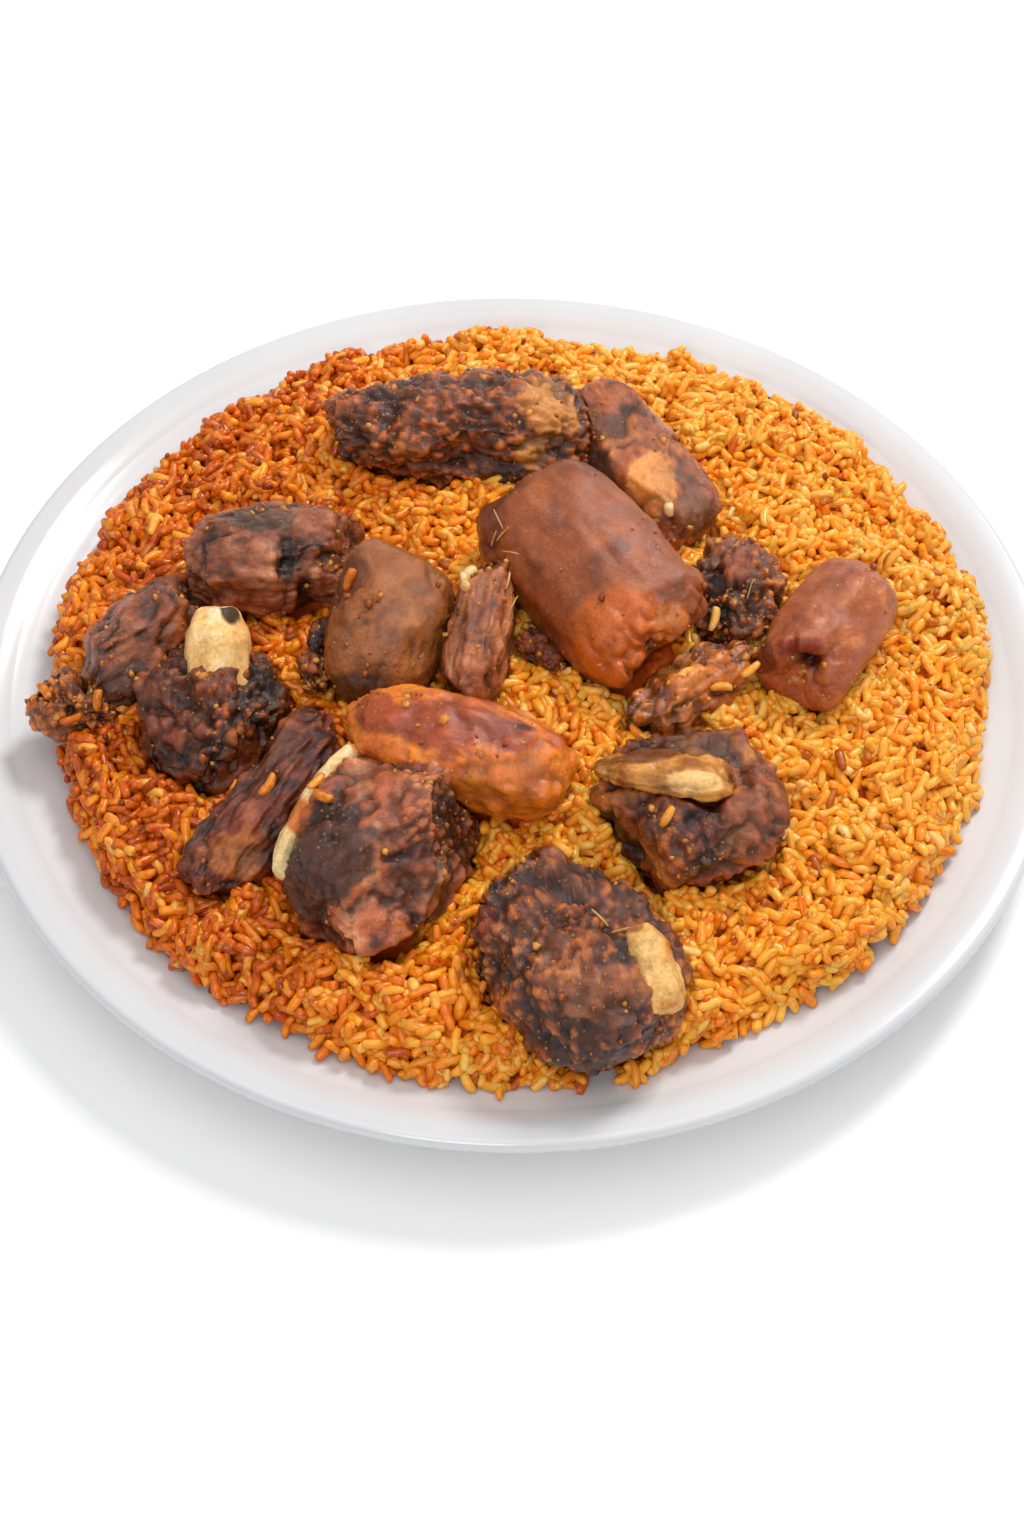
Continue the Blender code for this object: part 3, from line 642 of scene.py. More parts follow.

# %% [markdown]
# ## The meat
# Each piece's recipe says what it is: its base, darkest and lightest colours, how much crust, crag,
# crumb or fibre it has, how much painted shade its creases take and what colour its hollows are, and
# where a patch or a hollow lies, in shares of its own box, left to right, near to far and bottom to top.
# A patch is fat, membrane or char, or just darker or lighter. Some dark ones low on a side are painted
# shade, and a grey one on the knuckle is a painted highlight.

# %% The pieces of meat
LARGE, MIDDLE, SMALL = (104, 188), (80, 140), (56, 96)
MEAT = {
    "skin_barrel": dict(
        torn=0.04, grid=LARGE, finish=skin_finish, base="824A2C", dark="64381F", light="9C5E38",
        lumps=0.8, crags=0, crumbs=0.5, crust=0.16, spiced=0.5, spice="9A4E26", creases=0, wet=0.35,
        hollows=[((0.82, 0.07, 0.4), (8, 7, 8), 0.4)],
        swells=[((0.74, 0.08, 0.6), 13, 2.4), ((0.98, 0.4, 0.6), 9, 2.0), ((0.1, 0.55, 0.6), 9, 1.4)],
        patches=[((0.62, 0.16, 0.6), 17, "AE5E1C", 0.75), ((0.62, 0.46, 0.91), 3.5, "5A3838", 0.7),
                 ((0.78, 0.48, 0.87), 2.5, "5A3838", 0.6), ((0.05, 0.66, 0.7), 11, "5A2E22", 0.7),
                 ((0.84, 0.2, 0.68), 7, "B4743C", 0.6), ((0.9, 0.55, 0.8), 6, "A4603A", 0.5)],
    ),
    "golden_oval": dict(
        torn=0.05, finish=glaze_finish, base="C4741C", dark="9A4A12", light="E09A34", lumps=1.0,
        crags=0.55, crumbs=0.7, crust=0.45, spiced=0.6, spice="A34A1E", creases=0.15, wet=0.8,
        patches=[((0.41, 0.5, 1.0), (20, 11, 7), "8E3E1E", 0.85), ((0.72, 0.42, 0.96), 7, "8C3A1C", 0.8),
                 ((0.78, 0.5, 0.98), (5, 3, 3), "4A2A2E", 0.9), ((0.1, 0.7, 0.87), 8, "8E3E1E", 0.85)],
    ),
    "tail_roll": dict(
        torn=0.03, finish=skin_finish, base="90543E", dark="70402C", light="B07A5C",
        lumps=0.7, crags=0, crumbs=0.4, crust=0.2, spiced=0.4, creases=0, wet=0.3, hollow="3A0E07",
        hollows=[((0.28, 0.1, 0.72), (8, 7, 7), 0.5)],
        swells=[((0.25, 0.15, 0.75), 11, 1.8)],
        patches=[((0.27, 0.22, 0.86), (8, 4, 4), "6E2416", 0.85), ((0.8, 0.8, 0.98), 6, "A0583C", 0.6),
                 ((0.05, 0.25, 0.6), 6, "4A1C14", 0.8)],
    ),
    "crusty_rib": dict(
        cuts=4, torn=0.1, grid=LARGE, base="8A4C2A", dark="341A10", light="B67A4A",
        lumps=1.3, crags=1.5, crumbs=1.5, crust=0.8, spice="BC7040", wet=0.4,
        patches=[((0.85, 0.45, 0.95), 12, "C1905A", 0.8), ((0.77, 0.11, 0.67), 6, "B58A50", 0.7),
                 ((0.1, 0.35, 0.7), 9, "3A2018", 0.6), ((0.7, 0.05, 0.4), 7, "1A0D09", 0.8)],
    ),
    "slab": dict(
        cuts=5, torn=0.07, base="9A5C40", dark="5A3024", light="CF9568",
        lumps=0.9, crags=0.6, crumbs=0.7, crust=0.35, wet=0.4, fibres=0.3,
        patches=[((0.54, 0.24, 0.85), (9, 14, 9), "DDA26A", 0.85), ((0.18, 0.4, 0.5), 13, "3A2420", 0.9),
                 ((0.25, 0.6, 0.9), 8, "5E4034", 0.8), ((0.82, 0.15, 0.71), 8, "8E6256", 0.8)],
    ),
    "char_lump": dict(
        cuts=3, torn=0.15, base="7C4634", dark="241410", light="B07A62",
        lumps=1.3, crags=1.7, crumbs=1.2, crust=0.6, spice="C4822E", wet=0.55,
    ),
    "round_left": dict(
        cuts=2, torn=0.08, grid=LARGE, base="804C3A", dark="3C2018", light="B07E70",
        lumps=1.1, crags=0.9, crumbs=0.6, crust=0.35, fibres=0.4, wet=0.45, hollow="1A0D0A",
        hollows=[((0.6, 0.2, 0.9), (2.2, 12, 9), 0.22), ((0.7, 0.02, 0.5), (4, 8, 12), 0.25)],
        patches=[((0.43, 0.6, 1.0), (13, 9, 6), "4E3C32", 0.85), ((0.26, 0.04, 0.55), 8, "94583A", 0.7),
                 ((0.04, 0.45, 0.9), 5, "94584A", 0.7)],
    ),
    "heart_lobe": dict(
        cuts=1, torn=0.06, grid=LARGE, base="875632", dark="5A3A20", light="A6754A",
        lumps=0.9, crags=0.3, crumbs=0.8, crust=0.28, spice="A86034", wet=0.3, fine=0.3, creases=0.3,
        # The dark patch low in front, 33221A, is painted shade at the piece's bottom.
        patches=[((0.15, 0.65, 0.9), (10, 9, 8), "58301E", 0.85), ((0.24, 0.0, 0.4), 12, "33221A", 0.8)],
    ),
    "heart_slice": dict(
        cuts=2, torn=0.08, base="98604A", dark="54302A", light="CA9884",
        lumps=0.8, crags=0.7, crumbs=0.8, crust=0.35, spice="B07040", fibres=0.6, wet=0.5,
        patches=[((0.6, 0.9, 0.95), 9, "5E4430", 0.8), ((0.0, 0.4, 0.5), 8, "1E1210", 0.8)],
    ),
    "block_front": dict(
        cuts=8, torn=0.07, grid=LARGE, base="A46450", dark="481F16", light="DCB0A0",
        lumps=1.2, crags=1.1, crumbs=1.1, crust=0.45, spice="B0683E", wet=0.65,
        patches=[((0.25, 0.36, 0.8), (16, 17, 14), "40271E", 0.95), ((0.14, 0.3, 0.5), 14, "3E251C", 0.9),
                 ((0.9, 0.55, 0.82), 10, "1E100C", 0.85), ((0.1, 0.6, 0.78), (5, 9, 9), "B0622E", 0.85)],
    ),
    "shank_left": dict(
        cuts=4, torn=0.14, grid=LARGE, base="5C301F", dark="1C100C", light="94583A",
        lumps=1.4, crags=1.7, crumbs=1.1, crust=0.55, spice="B4683A", wet=0.5,
        patches=[((0.26, 0.27, 0.75), 8, "7A4028", 0.7), ((0.85, 0.6, 0.6), 9, "2A1A16", 0.7),
                 ((0.5, 0.5, 1.0), 9, "6E3A22", 0.6)],
    ),
    "wedge_left": dict(
        cuts=5, torn=0.09, base="7E4832", dark="3A2018", light="A66E54",
        lumps=1.0, crags=0.8, crumbs=0.5, crust=0.3, fibres=0.3, wet=0.45,
        # The dark patch on the front face, 38221C, is painted shade.
        patches=[((0.5, 0.06, 0.6), 10, "38221C", 0.85), ((0.9, 0.85, 0.7), 7, "33201C", 0.7)],
    ),
    "crumbly_end": dict(
        torn=0.15, base="94582C", dark="3A1B0E", light="BC7E44",
        lumps=1.2, crags=1.3, crumbs=1.5, crust=0.9, spice="C8802E", wet=0.4,
    ),
    "rib_strip": dict(
        cuts=4, torn=0.1, base="642C1A", dark="200F0A", light="A06236",
        lumps=0.9, crags=0.8, crumbs=0.5, crust=0.25, fibres=1.3, wet=0.6,
        patches=[((0.39, 0.1, 0.72), 8, "98602E", 0.8), ((0.66, 0.7, 0.97), 8, "4A2820", 0.8)],
    ),
    "chunk_right": dict(
        cuts=4, torn=0.13, grid=LARGE, base="7C4024", dark="220E08", light="C08A58",
        lumps=1.6, crags=1.2, crumbs=0.9, crust=0.4, spice="B8702E", wet=0.8,
        patches=[((0.54, 0.68, 0.97), (12, 9, 6), "745232", 0.8),
                 ((0.8, 0.3, 0.9), (8, 12, 9), "8E563A", 0.7),
                 ((0.08, 0.3, 0.4), 12, "1A0E0A", 0.9), ((0.5, 0.1, 0.6), 7, "3A1E14", 0.7)],
    ),
    "tendon_flap": dict(
        torn=0.16, finish=glaze_finish, base="A0622F", dark="4C2414", light="D69A5C",
        lumps=1.8, crags=1.3, crumbs=0.2, crust=0.15, wet=0.9, creases=0.4,
        # The near-black patch low on the left, 2C140E, is painted shade.
        patches=[((0.05, 0.2, 0.4), 9, "2C140E", 0.85), ((0.4, 0.5, 1.0), 4, "E2B478", 0.8)],
    ),
    "scrap_left": dict(
        cuts=3, torn=0.2, grid=SMALL, base="4A281A", dark="160D0B", light="80482C",
        lumps=1.3, crags=1.4, crumbs=1.2, crust=0.6, wet=0.5,
    ),
    "scrap_middle": dict(
        cuts=3, torn=0.2, grid=SMALL, base="64321C", dark="24130E", light="96582E",
        lumps=1.3, crags=1.4, crumbs=1.2, crust=0.6, wet=0.5,
    ),
    "knuckle_front": dict(
        cuts=5, torn=0.1, grid=LARGE, base="713A20", dark="280F08", light="B87E5C",
        lumps=1.4, crags=1.2, crumbs=1.0, crust=0.65, spice="BC7838", wet=0.5,
        hollows=[((0.5, 0.74, 0.9), (5, 3.5, 5), 0.35), ((0.66, 0.56, 1.0), (4, 3, 5), 0.35)],
        # The grey mauve patch high in front, 96685A, is a painted highlight of the cool light on the wet top.
        patches=[((0.05, 0.6, 0.85), 8, "84362A", 0.8), ((0.6, 0.2, 0.9), (14, 10, 9), "96685A", 0.45),
                 ((0.72, 0.6, 0.98), (9, 4, 5), "B07044", 0.6)],
    ),
}
faces = 0
for number, (node, recipe) in enumerate(MEAT.items()):
    piece = morsel(node, *recipe.get("grid", MIDDLE), recipe, 100 * number)
    kind = {"skin_barrel": "stewed_skin", "tail_roll": "stewed_skin", "golden_oval": "golden_crust"}
    finished(piece, recipe.get("finish", crust_finish), node, slot=kind.get(node, "fried_meat"))
    faces += 2 * len(piece.data.polygons)
print(len(MEAT), "pieces of meat with about", faces, "triangles")

# %% [markdown]
# ## The bones
# Four pieces show bone or the cream band of gristle on it. Boiled bone is pale and waxy, stained
# orange by the oil, with fine dark pits, and a sawn end shows dark marrow. Their surfaces are made as the
# meat's are, with hardly any relief.

# %% Bones
bone_finish = cooked_material("boiled bone", 0.5, 0.3, 0.2, "9A5A24", 0.15, 0.1)
BONES = {
    "shank_bone": dict(
        torn=0.03, oiled=0.4, base="E8C48A", dark="D89C5C", light="F6E8CC", lumps=0.5, crags=0, crumbs=0,
        crust=0.1, spiced=0.3, spice="B8702E", creases=0, wet=0.45,
        patches=[((0.85, 0.85, 1.0), (7, 7, 5), "2A150C", 0.95),
                 ((0.1, 0.2, 0.42), (9, 9, 6), "D8862E", 0.85),
                 ((0.6, 0.0, 0.45), (6, 6, 4), "94502E", 0.6)],
    ),
    "block_bone": dict(
        torn=0.03, grid=SMALL, oiled=0.4, base="E2CEA4", dark="C08C4C", light="F0E4C8", lumps=0.6, crags=0,
        crumbs=0, crust=0.1, spiced=0.3, creases=0, wet=0.5,
        patches=[((0.3, 0.4, 0.7), (5, 7, 7), "BC6420", 0.9), ((1.0, 1.0, 1.0), 6, "E89A24", 0.8)],
    ),
    "chunk_bone": dict(
        torn=0.06, grid=SMALL, oiled=0.4, base="B8803E", dark="7A431A", light="DCAC66", lumps=0.9, crags=0.6,
        crumbs=0.4, crust=0.25, spiced=0.6, spice="84401C", creases=0.3, wet=0.75,
        patches=[((0.7, 0.25, 0.85), (9, 4, 4), "EFC890", 0.8), ((0.4, 1.0, 0.9), (16, 5, 5), "5E3219", 0.9),
                 ((0.28, 0.8, 0.9), (11, 4, 4), "63381F", 0.85), ((1.0, 0.6, 0.6), (4, 5, 5), "84481E", 0.8)],
    ),
    "knuckle_bone": dict(
        torn=0.06, grid=SMALL, oiled=0.4, base="E6BE7E", dark="C0803C", light="F4DCAE", lumps=0.8, crags=0.3,
        crumbs=0.3, crust=0.2, spiced=0.6, spice="8E4A24", creases=0.2, wet=0.5,
        patches=[((0.9, 0.7, 0.6), 5, "E0913A", 0.8), ((0.2, 0.9, 1.0), 5, "8A4A28", 0.8)],
    ),
}
for number, (node, recipe) in enumerate(BONES.items()):
    piece = morsel(node, *recipe.get("grid", MIDDLE), recipe, 5000 + 100 * number)
    finished(piece, bone_finish, node, slot="cooked_bone")
print(len(BONES), "bones")

# %% [markdown]
# ## The rice: a core and loose grains
# A real heap is some forty thousand grains, and nobody sees more than the top few layers. So the inside
# is one closed core, a few millimetres down, with lumps the size of grains for whatever shows between
# them, and real loose grains are strewn over it. Jollof rice holds together in clumps the size of a
# spoon's tip, so the heap's surface is first broken into knolls and pits, which core and grains follow.

# %% The core of the heap
CLUMP, CLUMP_DEPTH = 12 * MM, 5.5 * MM
CORE_DEPTH, CORE_INSET = 4.6 * MM, 4 * MM
CORE_RINGS, CORE_TURNS, UNDER_RINGS = 150, 420, 24
RISE, LEAST_RICE = 0.6 * MM, 1 * MM
LUMP, LUMP_HEIGHT = 3.4 * MM, 2.2 * MM


def spread_out(values, steps, choose):
    """Each cell takes the largest, or the smallest, of itself and its four neighbours, steps times."""
    for _ in range(steps):
        for line in (0, 1):
            values = choose(choose(values, np.roll(values, 1, line)), np.roll(values, -1, line))
    return values


def softened(values, steps):
    """A blur: the mean of three neighbours along each line of the map in turn, steps times."""
    for _ in range(steps):
        for line in (0, 1):
            values = (np.roll(values, 1, line) + values + np.roll(values, -1, line)) / 3
    return values


def sampled(values, x, y):
    """The map's value at places between its cells, blended from the four cells round each place."""
    row, column = (x + HALF_SPAN) / CELL, (y + HALF_SPAN) / CELL
    i, j = np.clip(row.astype(int), 0, SIDE - 2), np.clip(column.astype(int), 0, SIDE - 2)
    a, b = row - i, column - j
    near_row = values[i, j] * (1 - b) + values[i, j + 1] * b
    return near_row * (1 - a) + (values[i + 1, j] * (1 - b) + values[i + 1, j + 1] * b) * a


spot = np.stack([map_x, map_y, 0 * map_x], axis=-1).reshape(-1, 3)
knolls = smooth(-0.3, 0.3, rough(spot, CLUMP, 12, 3)).reshape(map_x.shape)
surface = np.where(inside, heap + RISE - CLUMP_DEPTH * (1 - knolls), dish)
surface = softened(np.maximum(surface, dish + LEAST_RICE), 2)
low = spread_out(np.where(inside, surface, dish), 3, np.minimum)
core_height = np.maximum(softened(low - CORE_DEPTH, 4), dish + 0.3 * MM)
turn = np.arange(CORE_TURNS) * math.tau / CORE_TURNS
out = np.linspace(60 * MM, 149 * MM, 300)
on_rice = sampled(inside * 1.0, np.outer(np.cos(turn), out), np.outer(np.sin(turn), out)) > 0.5
rim = out[len(out) - 1 - np.argmax(on_rice[:, ::-1], axis=1)] - CORE_INSET
for _ in range(8):
    rim = (np.roll(rim, 1) + rim + np.roll(rim, -1)) / 3
share = (np.arange(CORE_RINGS) + 1) / CORE_RINGS
core_x, core_y = np.outer(share, rim * np.cos(turn)), np.outer(share, rim * np.sin(turn))
core_dish = plate_top(np.hypot(core_x, core_y))
spot = np.stack([core_x, core_y, 0 * core_x], axis=-1).reshape(-1, 3)
apart, _ = cells(spot, LUMP, 7)
lumps = (np.clip(1 - apart**2, 0, 1) * LUMP_HEIGHT).reshape(core_x.shape)
core_rise = sampled(core_height, core_x, core_y) + lumps - core_dish
core_z = core_dish + core_rise * smooth(1, 0.94, share)[:, None]
under_share = np.linspace(0.99, 0.06, UNDER_RINGS)[:, None]
under_x, under_y = under_share * rim * np.cos(turn), under_share * rim * np.sin(turn)
under_z = plate_top(np.hypot(under_x, under_y)) + 0.15 * MM
core_z = np.maximum(core_z, core_dish + 0.2 * MM)
core_grid = np.concatenate(
    [np.stack([core_x, core_y, core_z], axis=-1), np.stack([under_x, under_y, under_z], axis=-1)]
)
top = sampled(core_height, np.zeros(1), np.zeros(1))[0]
core = closed_object("rice_core", core_grid, (0, 0, top), (0, 0, WELL_FLOOR + 0.15 * MM))
print("core", len(core.data.polygons), "faces, rim", rim.min(), "to", rim.max())

# %% [markdown]
# Where meat lies on the rice no grain can be seen, so the meat is surveyed too, and the grains stop a few
# millimetres in from its outline. They lie in three layers below the heap's surface, one to each square
# of a shaken grid, more where it is steep, each leaning its own way.

# %% Where the grains lie
GRAIN_LENGTH, GRAIN_WIDTH, GRAIN_DEPTH = 7.9 * MM, 3.25 * MM, 3.0 * MM
LAYERS = ((0.6 * MM, 3.6 * MM), (2.4 * MM, 3.6 * MM), (4.0 * MM, 4.8 * MM))
LEAN = 0.5
chance = np.random.default_rng(3)

meat_top = np.max([survey(node) for node in MEAT], axis=0)
covered = spread_out((meat_top > heap + 1 * MM) * 1.0, 6, np.minimum)
steep_x, steep_y = np.gradient(softened(surface, 2), CELL)


def shaken(depth, gap, pick):
    """One layer of grains: middles and unit directions, from a grid whose points are shaken by half a gap.

    The share of ground that a sloping square really has is the length of its upward normal, so that many
    grains are drawn for it. Each lies along the slope with a lean of its own towards the normal.
    """
    ticks = np.arange(-HALF_SPAN + gap, HALF_SPAN - gap, gap)
    x, y = (part.ravel() for part in np.meshgrid(ticks, ticks))
    stretch = np.sqrt(1 + sampled(steep_x, x, y) ** 2 + sampled(steep_y, x, y) ** 2)
    copies = (np.minimum(stretch, 2.6) + pick.uniform(0, 1, len(x))).astype(int)
    x, y = (np.repeat(part, copies) + pick.uniform(-0.5, 0.5, copies.sum()) * gap for part in (x, y))
    kept = (sampled(inside * 1.0, x, y) > 0.5) & (sampled(covered, x, y) < 0.5)
    x, y = x[kept], y[kept]
    normal = np.stack([-sampled(steep_x, x, y), -sampled(steep_y, x, y), np.ones(len(x))], axis=1)
    normal /= np.linalg.norm(normal, axis=1, keepdims=True)
    place = np.stack([x, y, sampled(surface, x, y)], axis=1)
    place -= normal * (depth + pick.uniform(-0.9, 0.9, (len(x), 1)) * MM)
    place[:, 2] = np.maximum(place[:, 2], plate_top(np.hypot(x, y)) + GRAIN_DEPTH / 2)
    yaw = pick.uniform(0, math.tau, len(x))
    way = np.stack([np.cos(yaw), np.sin(yaw), 0 * yaw], axis=1)
    way -= normal * (way * normal).sum(axis=1, keepdims=True)
    way /= np.linalg.norm(way, axis=1, keepdims=True)
    way += normal * np.clip(pick.normal(0, LEAN, (len(x), 1)), -1.2, 1.2)
    return place, way / np.linalg.norm(way, axis=1, keepdims=True)


layers = [shaken(depth, gap, chance) for depth, gap in LAYERS]
middles, ways = (np.concatenate([layer[i] for layer in layers]) for i in (0, 1))
level = np.repeat(np.arange(len(LAYERS)), [len(layer[0]) for layer in layers])
print(len(middles), "grains in layers of", [len(layer[0]) for layer in layers])

# %% [markdown]
# ## Grains
# Boiled long-grain rice is a blunt spindle about three times as long as it is wide, a little bent, with
# a shallow groove, and some grains are split or burst at one end. A dozen forms of forty-two faces
# are enough, because each copy is turned about its length, scaled and tinted on its own.

# %% Grain forms
FORMS = 12
AROUND = 7
RING_ANGLES = np.array([0.42, 0.98, 1.57, 2.16, 2.72])


def grain_form(number):
    """A spindle: a circle swept along a bent line, its width the sine of the way along, to a low power.

    The bend is a parabola, the groove is a wave of two round the circle, and a burst end is wider.
    """
    pick = np.random.default_rng(40 + number)
    bend, groove, taper = pick.uniform(0.1, 1.0) * MM, pick.uniform(0.02, 0.14), pick.uniform(-0.12, 0.12)
    burst = pick.uniform(0.15, 0.4) if number % 4 == 0 else 0
    wave, shift = pick.uniform(-0.25, 0.25) * MM, pick.uniform(0, math.tau)
    u, v = np.meshgrid(RING_ANGLES, np.arange(AROUND) * math.tau / AROUND, indexing="ij")
    along = -np.cos(u)
    width = np.sin(u) ** 0.5 * (1 + taper * along + burst * np.clip(along, 0, 1) ** 2)
    width = width * (1 - groove * (1 + np.cos(2 * v + shift)) / 2)
    x = along * GRAIN_LENGTH / 2
    y = width * np.cos(v) * GRAIN_WIDTH / 2 + wave * np.sin(2 * along)
    z = width * np.sin(v) * GRAIN_DEPTH / 2 + bend * (along**2 - 0.4)
    body = np.stack([x, y, z], axis=-1).reshape(-1, 3)
    ends = [(side * GRAIN_LENGTH / 2, wave * math.sin(2 * side), bend * 0.6) for side in (-1, 1)]
    return np.concatenate([body, ends])


forms = np.stack([grain_form(number) for number in range(FORMS)])
quads, triangles = closed_faces(len(RING_ANGLES), AROUND)
a, b, c = (forms[0][quads[:, i]] for i in (0, 1, 2))
if np.einsum("ij,ij->i", a, np.cross(b, c)).sum() < 0:
    quads, triangles = quads[:, ::-1], triangles[:, ::-1]
grain_triangles = 2 * len(quads) + len(triangles)
print(FORMS, "forms of", len(quads) + len(triangles), "faces; the heap takes", grain_triangles * len(middles))

# %% [markdown]
# The sauce does not reach every grain alike. The grains are put in order of how much sauce reached
# them and how much painted shade they take, more low in the heap, in front and on the left, and a
# quarter each is sunny and lit, golden, orange and soaked and shaded; a few, drawn by lot, are pale and
# broken or toasted on the pot's bottom. Each kind is a piece of its own, and each grain has its own
# tint, darker at the tips, and lower on the left partly as painted shade.

# %% Placing the grains


def placed(name, centre, along, pick, stretch):
    """Copies of the grain forms: each is rolled about its length, sized, turned to its way and tinted."""
    count = len(centre)
    side = np.cross([0, 0, 1], along)
    side /= np.linalg.norm(side, axis=1, keepdims=True)
    up = np.cross(along, side)
    roll = pick.uniform(0, math.tau, count)[:, None]
    axes = np.stack(
        [along, side * np.cos(roll) + up * np.sin(roll), up * np.cos(roll) - side * np.sin(roll)], axis=1
    )
    size = pick.uniform(0.9, 1.07, (count, 1, 3)) * np.array(stretch)
    points = (forms[pick.integers(FORMS, size=count)] * size) @ axes + centre[:, None]
    low = points[:, :, 2] - plate_top(np.hypot(points[:, :, 0], points[:, :, 1]))
    points[:, :, 2] += np.maximum(0.05 * MM - low.min(axis=1), 0)[:, None]
    step = (np.arange(count) * points.shape[1])[:, None, None]
    piece = build_mesh(
        name, points.reshape(-1, 3), (quads + step).reshape(-1, 4), (triangles + step).reshape(-1, 3)
    )
    patchy = rough(centre, 22 * MM, 5, 2) * 0.16
    # Each grain's tint is its own, with patches, and lower on the left: partly more sauce, partly painted
    # shade.
    own = pick.normal(0.57, 0.13, count) + patchy - 0.3 * smooth(40 * MM, -100 * MM, centre[:, 0])
    within = pick.uniform(-0.09, 0.09, (count, points.shape[1]))
    within[:, -2:] -= 0.15
    paint(piece, "tint", np.clip(own[:, None] + within, 0, 1).ravel())
    return piece


BLOTCH = 1.7 * MM


def rice_material(name, deep, body, bright, roughness):
    """Rice: a tint from deep sauce, and painted shade, to bright grain, blotched at a millimetre or two,
    under an oily film.
    """
    made, tree, shader, spot = new_material(
        name, IOR=1.45, Specular_IOR_Level=0.4, Roughness=roughness, Coat_Weight=0.14, Coat_Roughness=0.15,
        Coat_IOR=1.47, Subsurface_Weight=0.45, Subsurface_Radius=(1.0, 0.35, 0.06),
        Subsurface_Scale=2.5 * MM,
    )
    tint = add(tree, "Attribute", attribute_name="tint").outputs["Fac"]
    blotchy = {"Scale": 1 / BLOTCH, "Detail": 3, "Roughness": 0.6}
    blotch = add(tree, "TexNoise", blotchy, {"Vector": spot}).outputs["Fac"]
    blotch = add(tree, "MapRange", {1: 0.3, 2: 0.7, 3: -0.22, 4: 0.22}, {"Value": blotch}).outputs["Result"]
    level = add(tree, "Math", links={0: tint, 1: blotch}, operation="ADD").outputs[0]
    stops = [(0.05, deep), (0.45, body), (0.95, bright)]
    colour = add(tree, "ValToRGB", links={"Fac": level}, stops=stops).outputs["Color"]
    tree.links.new(colour, shader.inputs["Base Color"])
    return made


RICE = {
    "sunny_lit": dict(colours=("DA660A", "FFA626", "FFC45C"), rough=0.28, stretch=(1, 1, 1)),
    "golden": dict(colours=("D05C06", "FC9A1E", "FFBC4C"), rough=0.28, stretch=(1, 1, 1)),
    "orange": dict(colours=("C24E04", "F58C14", "FDAC3C"), rough=0.26, stretch=(1, 1, 1)),
    "soaked_shaded": dict(colours=("A84204", "E6740C", "F69826"), rough=0.24, stretch=(0.97, 1, 1)),
    "pale": dict(colours=("E07E1C", "FFB648", "FFD080"), rough=0.32, stretch=(0.75, 1.05, 1)),
    "toasted": dict(colours=("7A3409", "B45C0F", "D88428"), rough=0.4, stretch=(0.85, 0.95, 0.95)),
}
MAIN_KINDS, PALE_SHARE, TOASTED_SHARE = 4, 0.08, 0.025
# Sauce and painted shade: more on the left, in front and in the lower layers, with patches and chance.
sauce_and_shade = 0.34 * smooth(30 * MM, -90 * MM, middles[:, 0]) + 0.1 * smooth(0, -110 * MM, middles[:, 1])
sauce_and_shade += 0.14 * level + 0.15 * rough(middles, 16 * MM, 9, 3) + chance.normal(0, 0.16, len(middles))
rank = np.argsort(np.argsort(sauce_and_shade)) / len(middles)
lot = chance.uniform(size=len(middles))
kind = np.where(lot < PALE_SHARE, 4, np.where(lot > 1 - TOASTED_SHARE, 5, (rank * MAIN_KINDS).astype(int)))
for number, (name, recipe) in enumerate(RICE.items()):
    here = kind == number
    pick = np.random.default_rng(60 + number)
    grains = placed(name + "_grains", middles[here], ways[here], pick, recipe["stretch"])
    finish = rice_material(name + " jollof rice", *recipe["colours"], recipe["rough"])
    finished(grains, finish, "rice", slot="jollof_rice")
    print(name, here.sum(), "grains,", here.sum() * grain_triangles, "triangles")
# The core is darker than the grains: sauce, and painted shade for the gaps between them.
core_finish = rice_material("sauce and painted shade between the grains", "9A3002", "D05406", "E87A18", 0.6)
patches = rough(np.array([v.co for v in core.data.vertices]), 3 * MM, 77, 3)
paint(core, "tint", 0.5 + 0.3 * patches)
finished(core, core_finish, "rice", slot="jollof_rice")

# %% [markdown]
# ## Crumbs and shreds
# What falls off in the pan sticks to everything: crumbs of spice crust on the meat, flecks on the rice,
# a few grains of rice on the meat, bits of fat and some loose threads of meat. They are small closed
# lumps, or the grain forms again made thin or fat, set on the surface by its own outward direction.

# %% Crumbs
CRUMB_AROUND, FLECKS = 5, 420
FEWEST_CRUMBS, CRUMBS_FOR_CRUST = 30, 110


def crumbs(name, centre, size, tint, pick, material, slot):
    """Small lumps: two rings of five and two poles, every point pushed in or out by up to a third."""
    u = np.array([1.0, 2.1])[:, None]
    v = np.arange(CRUMB_AROUND) * math.tau / CRUMB_AROUND
    ball = np.stack([np.sin(u) * np.cos(v), np.sin(u) * np.sin(v), np.cos(u) + 0 * v], axis=-1)
    ball = np.concatenate([ball.reshape(-1, 3), [[0, 0, 1], [0, 0, -1]]])
    squash = pick.uniform(0.6, 1.3, (len(centre), 1, 3))
    dent = pick.uniform(0.7, 1.25, (len(centre), len(ball), 1))
    points = centre[:, None] + ball * dent * squash * size[:, None, None]
    four, three = closed_faces(2, CRUMB_AROUND)
    step = (np.arange(len(centre)) * len(ball))[:, None, None]
    piece = build_mesh(
        name, points.reshape(-1, 3), (four + step).reshape(-1, 4), (three + step).reshape(-1, 3)
    )
    paint(piece, "tint", np.repeat(tint, len(ball)))
    return finished(piece, material, slot=slot)


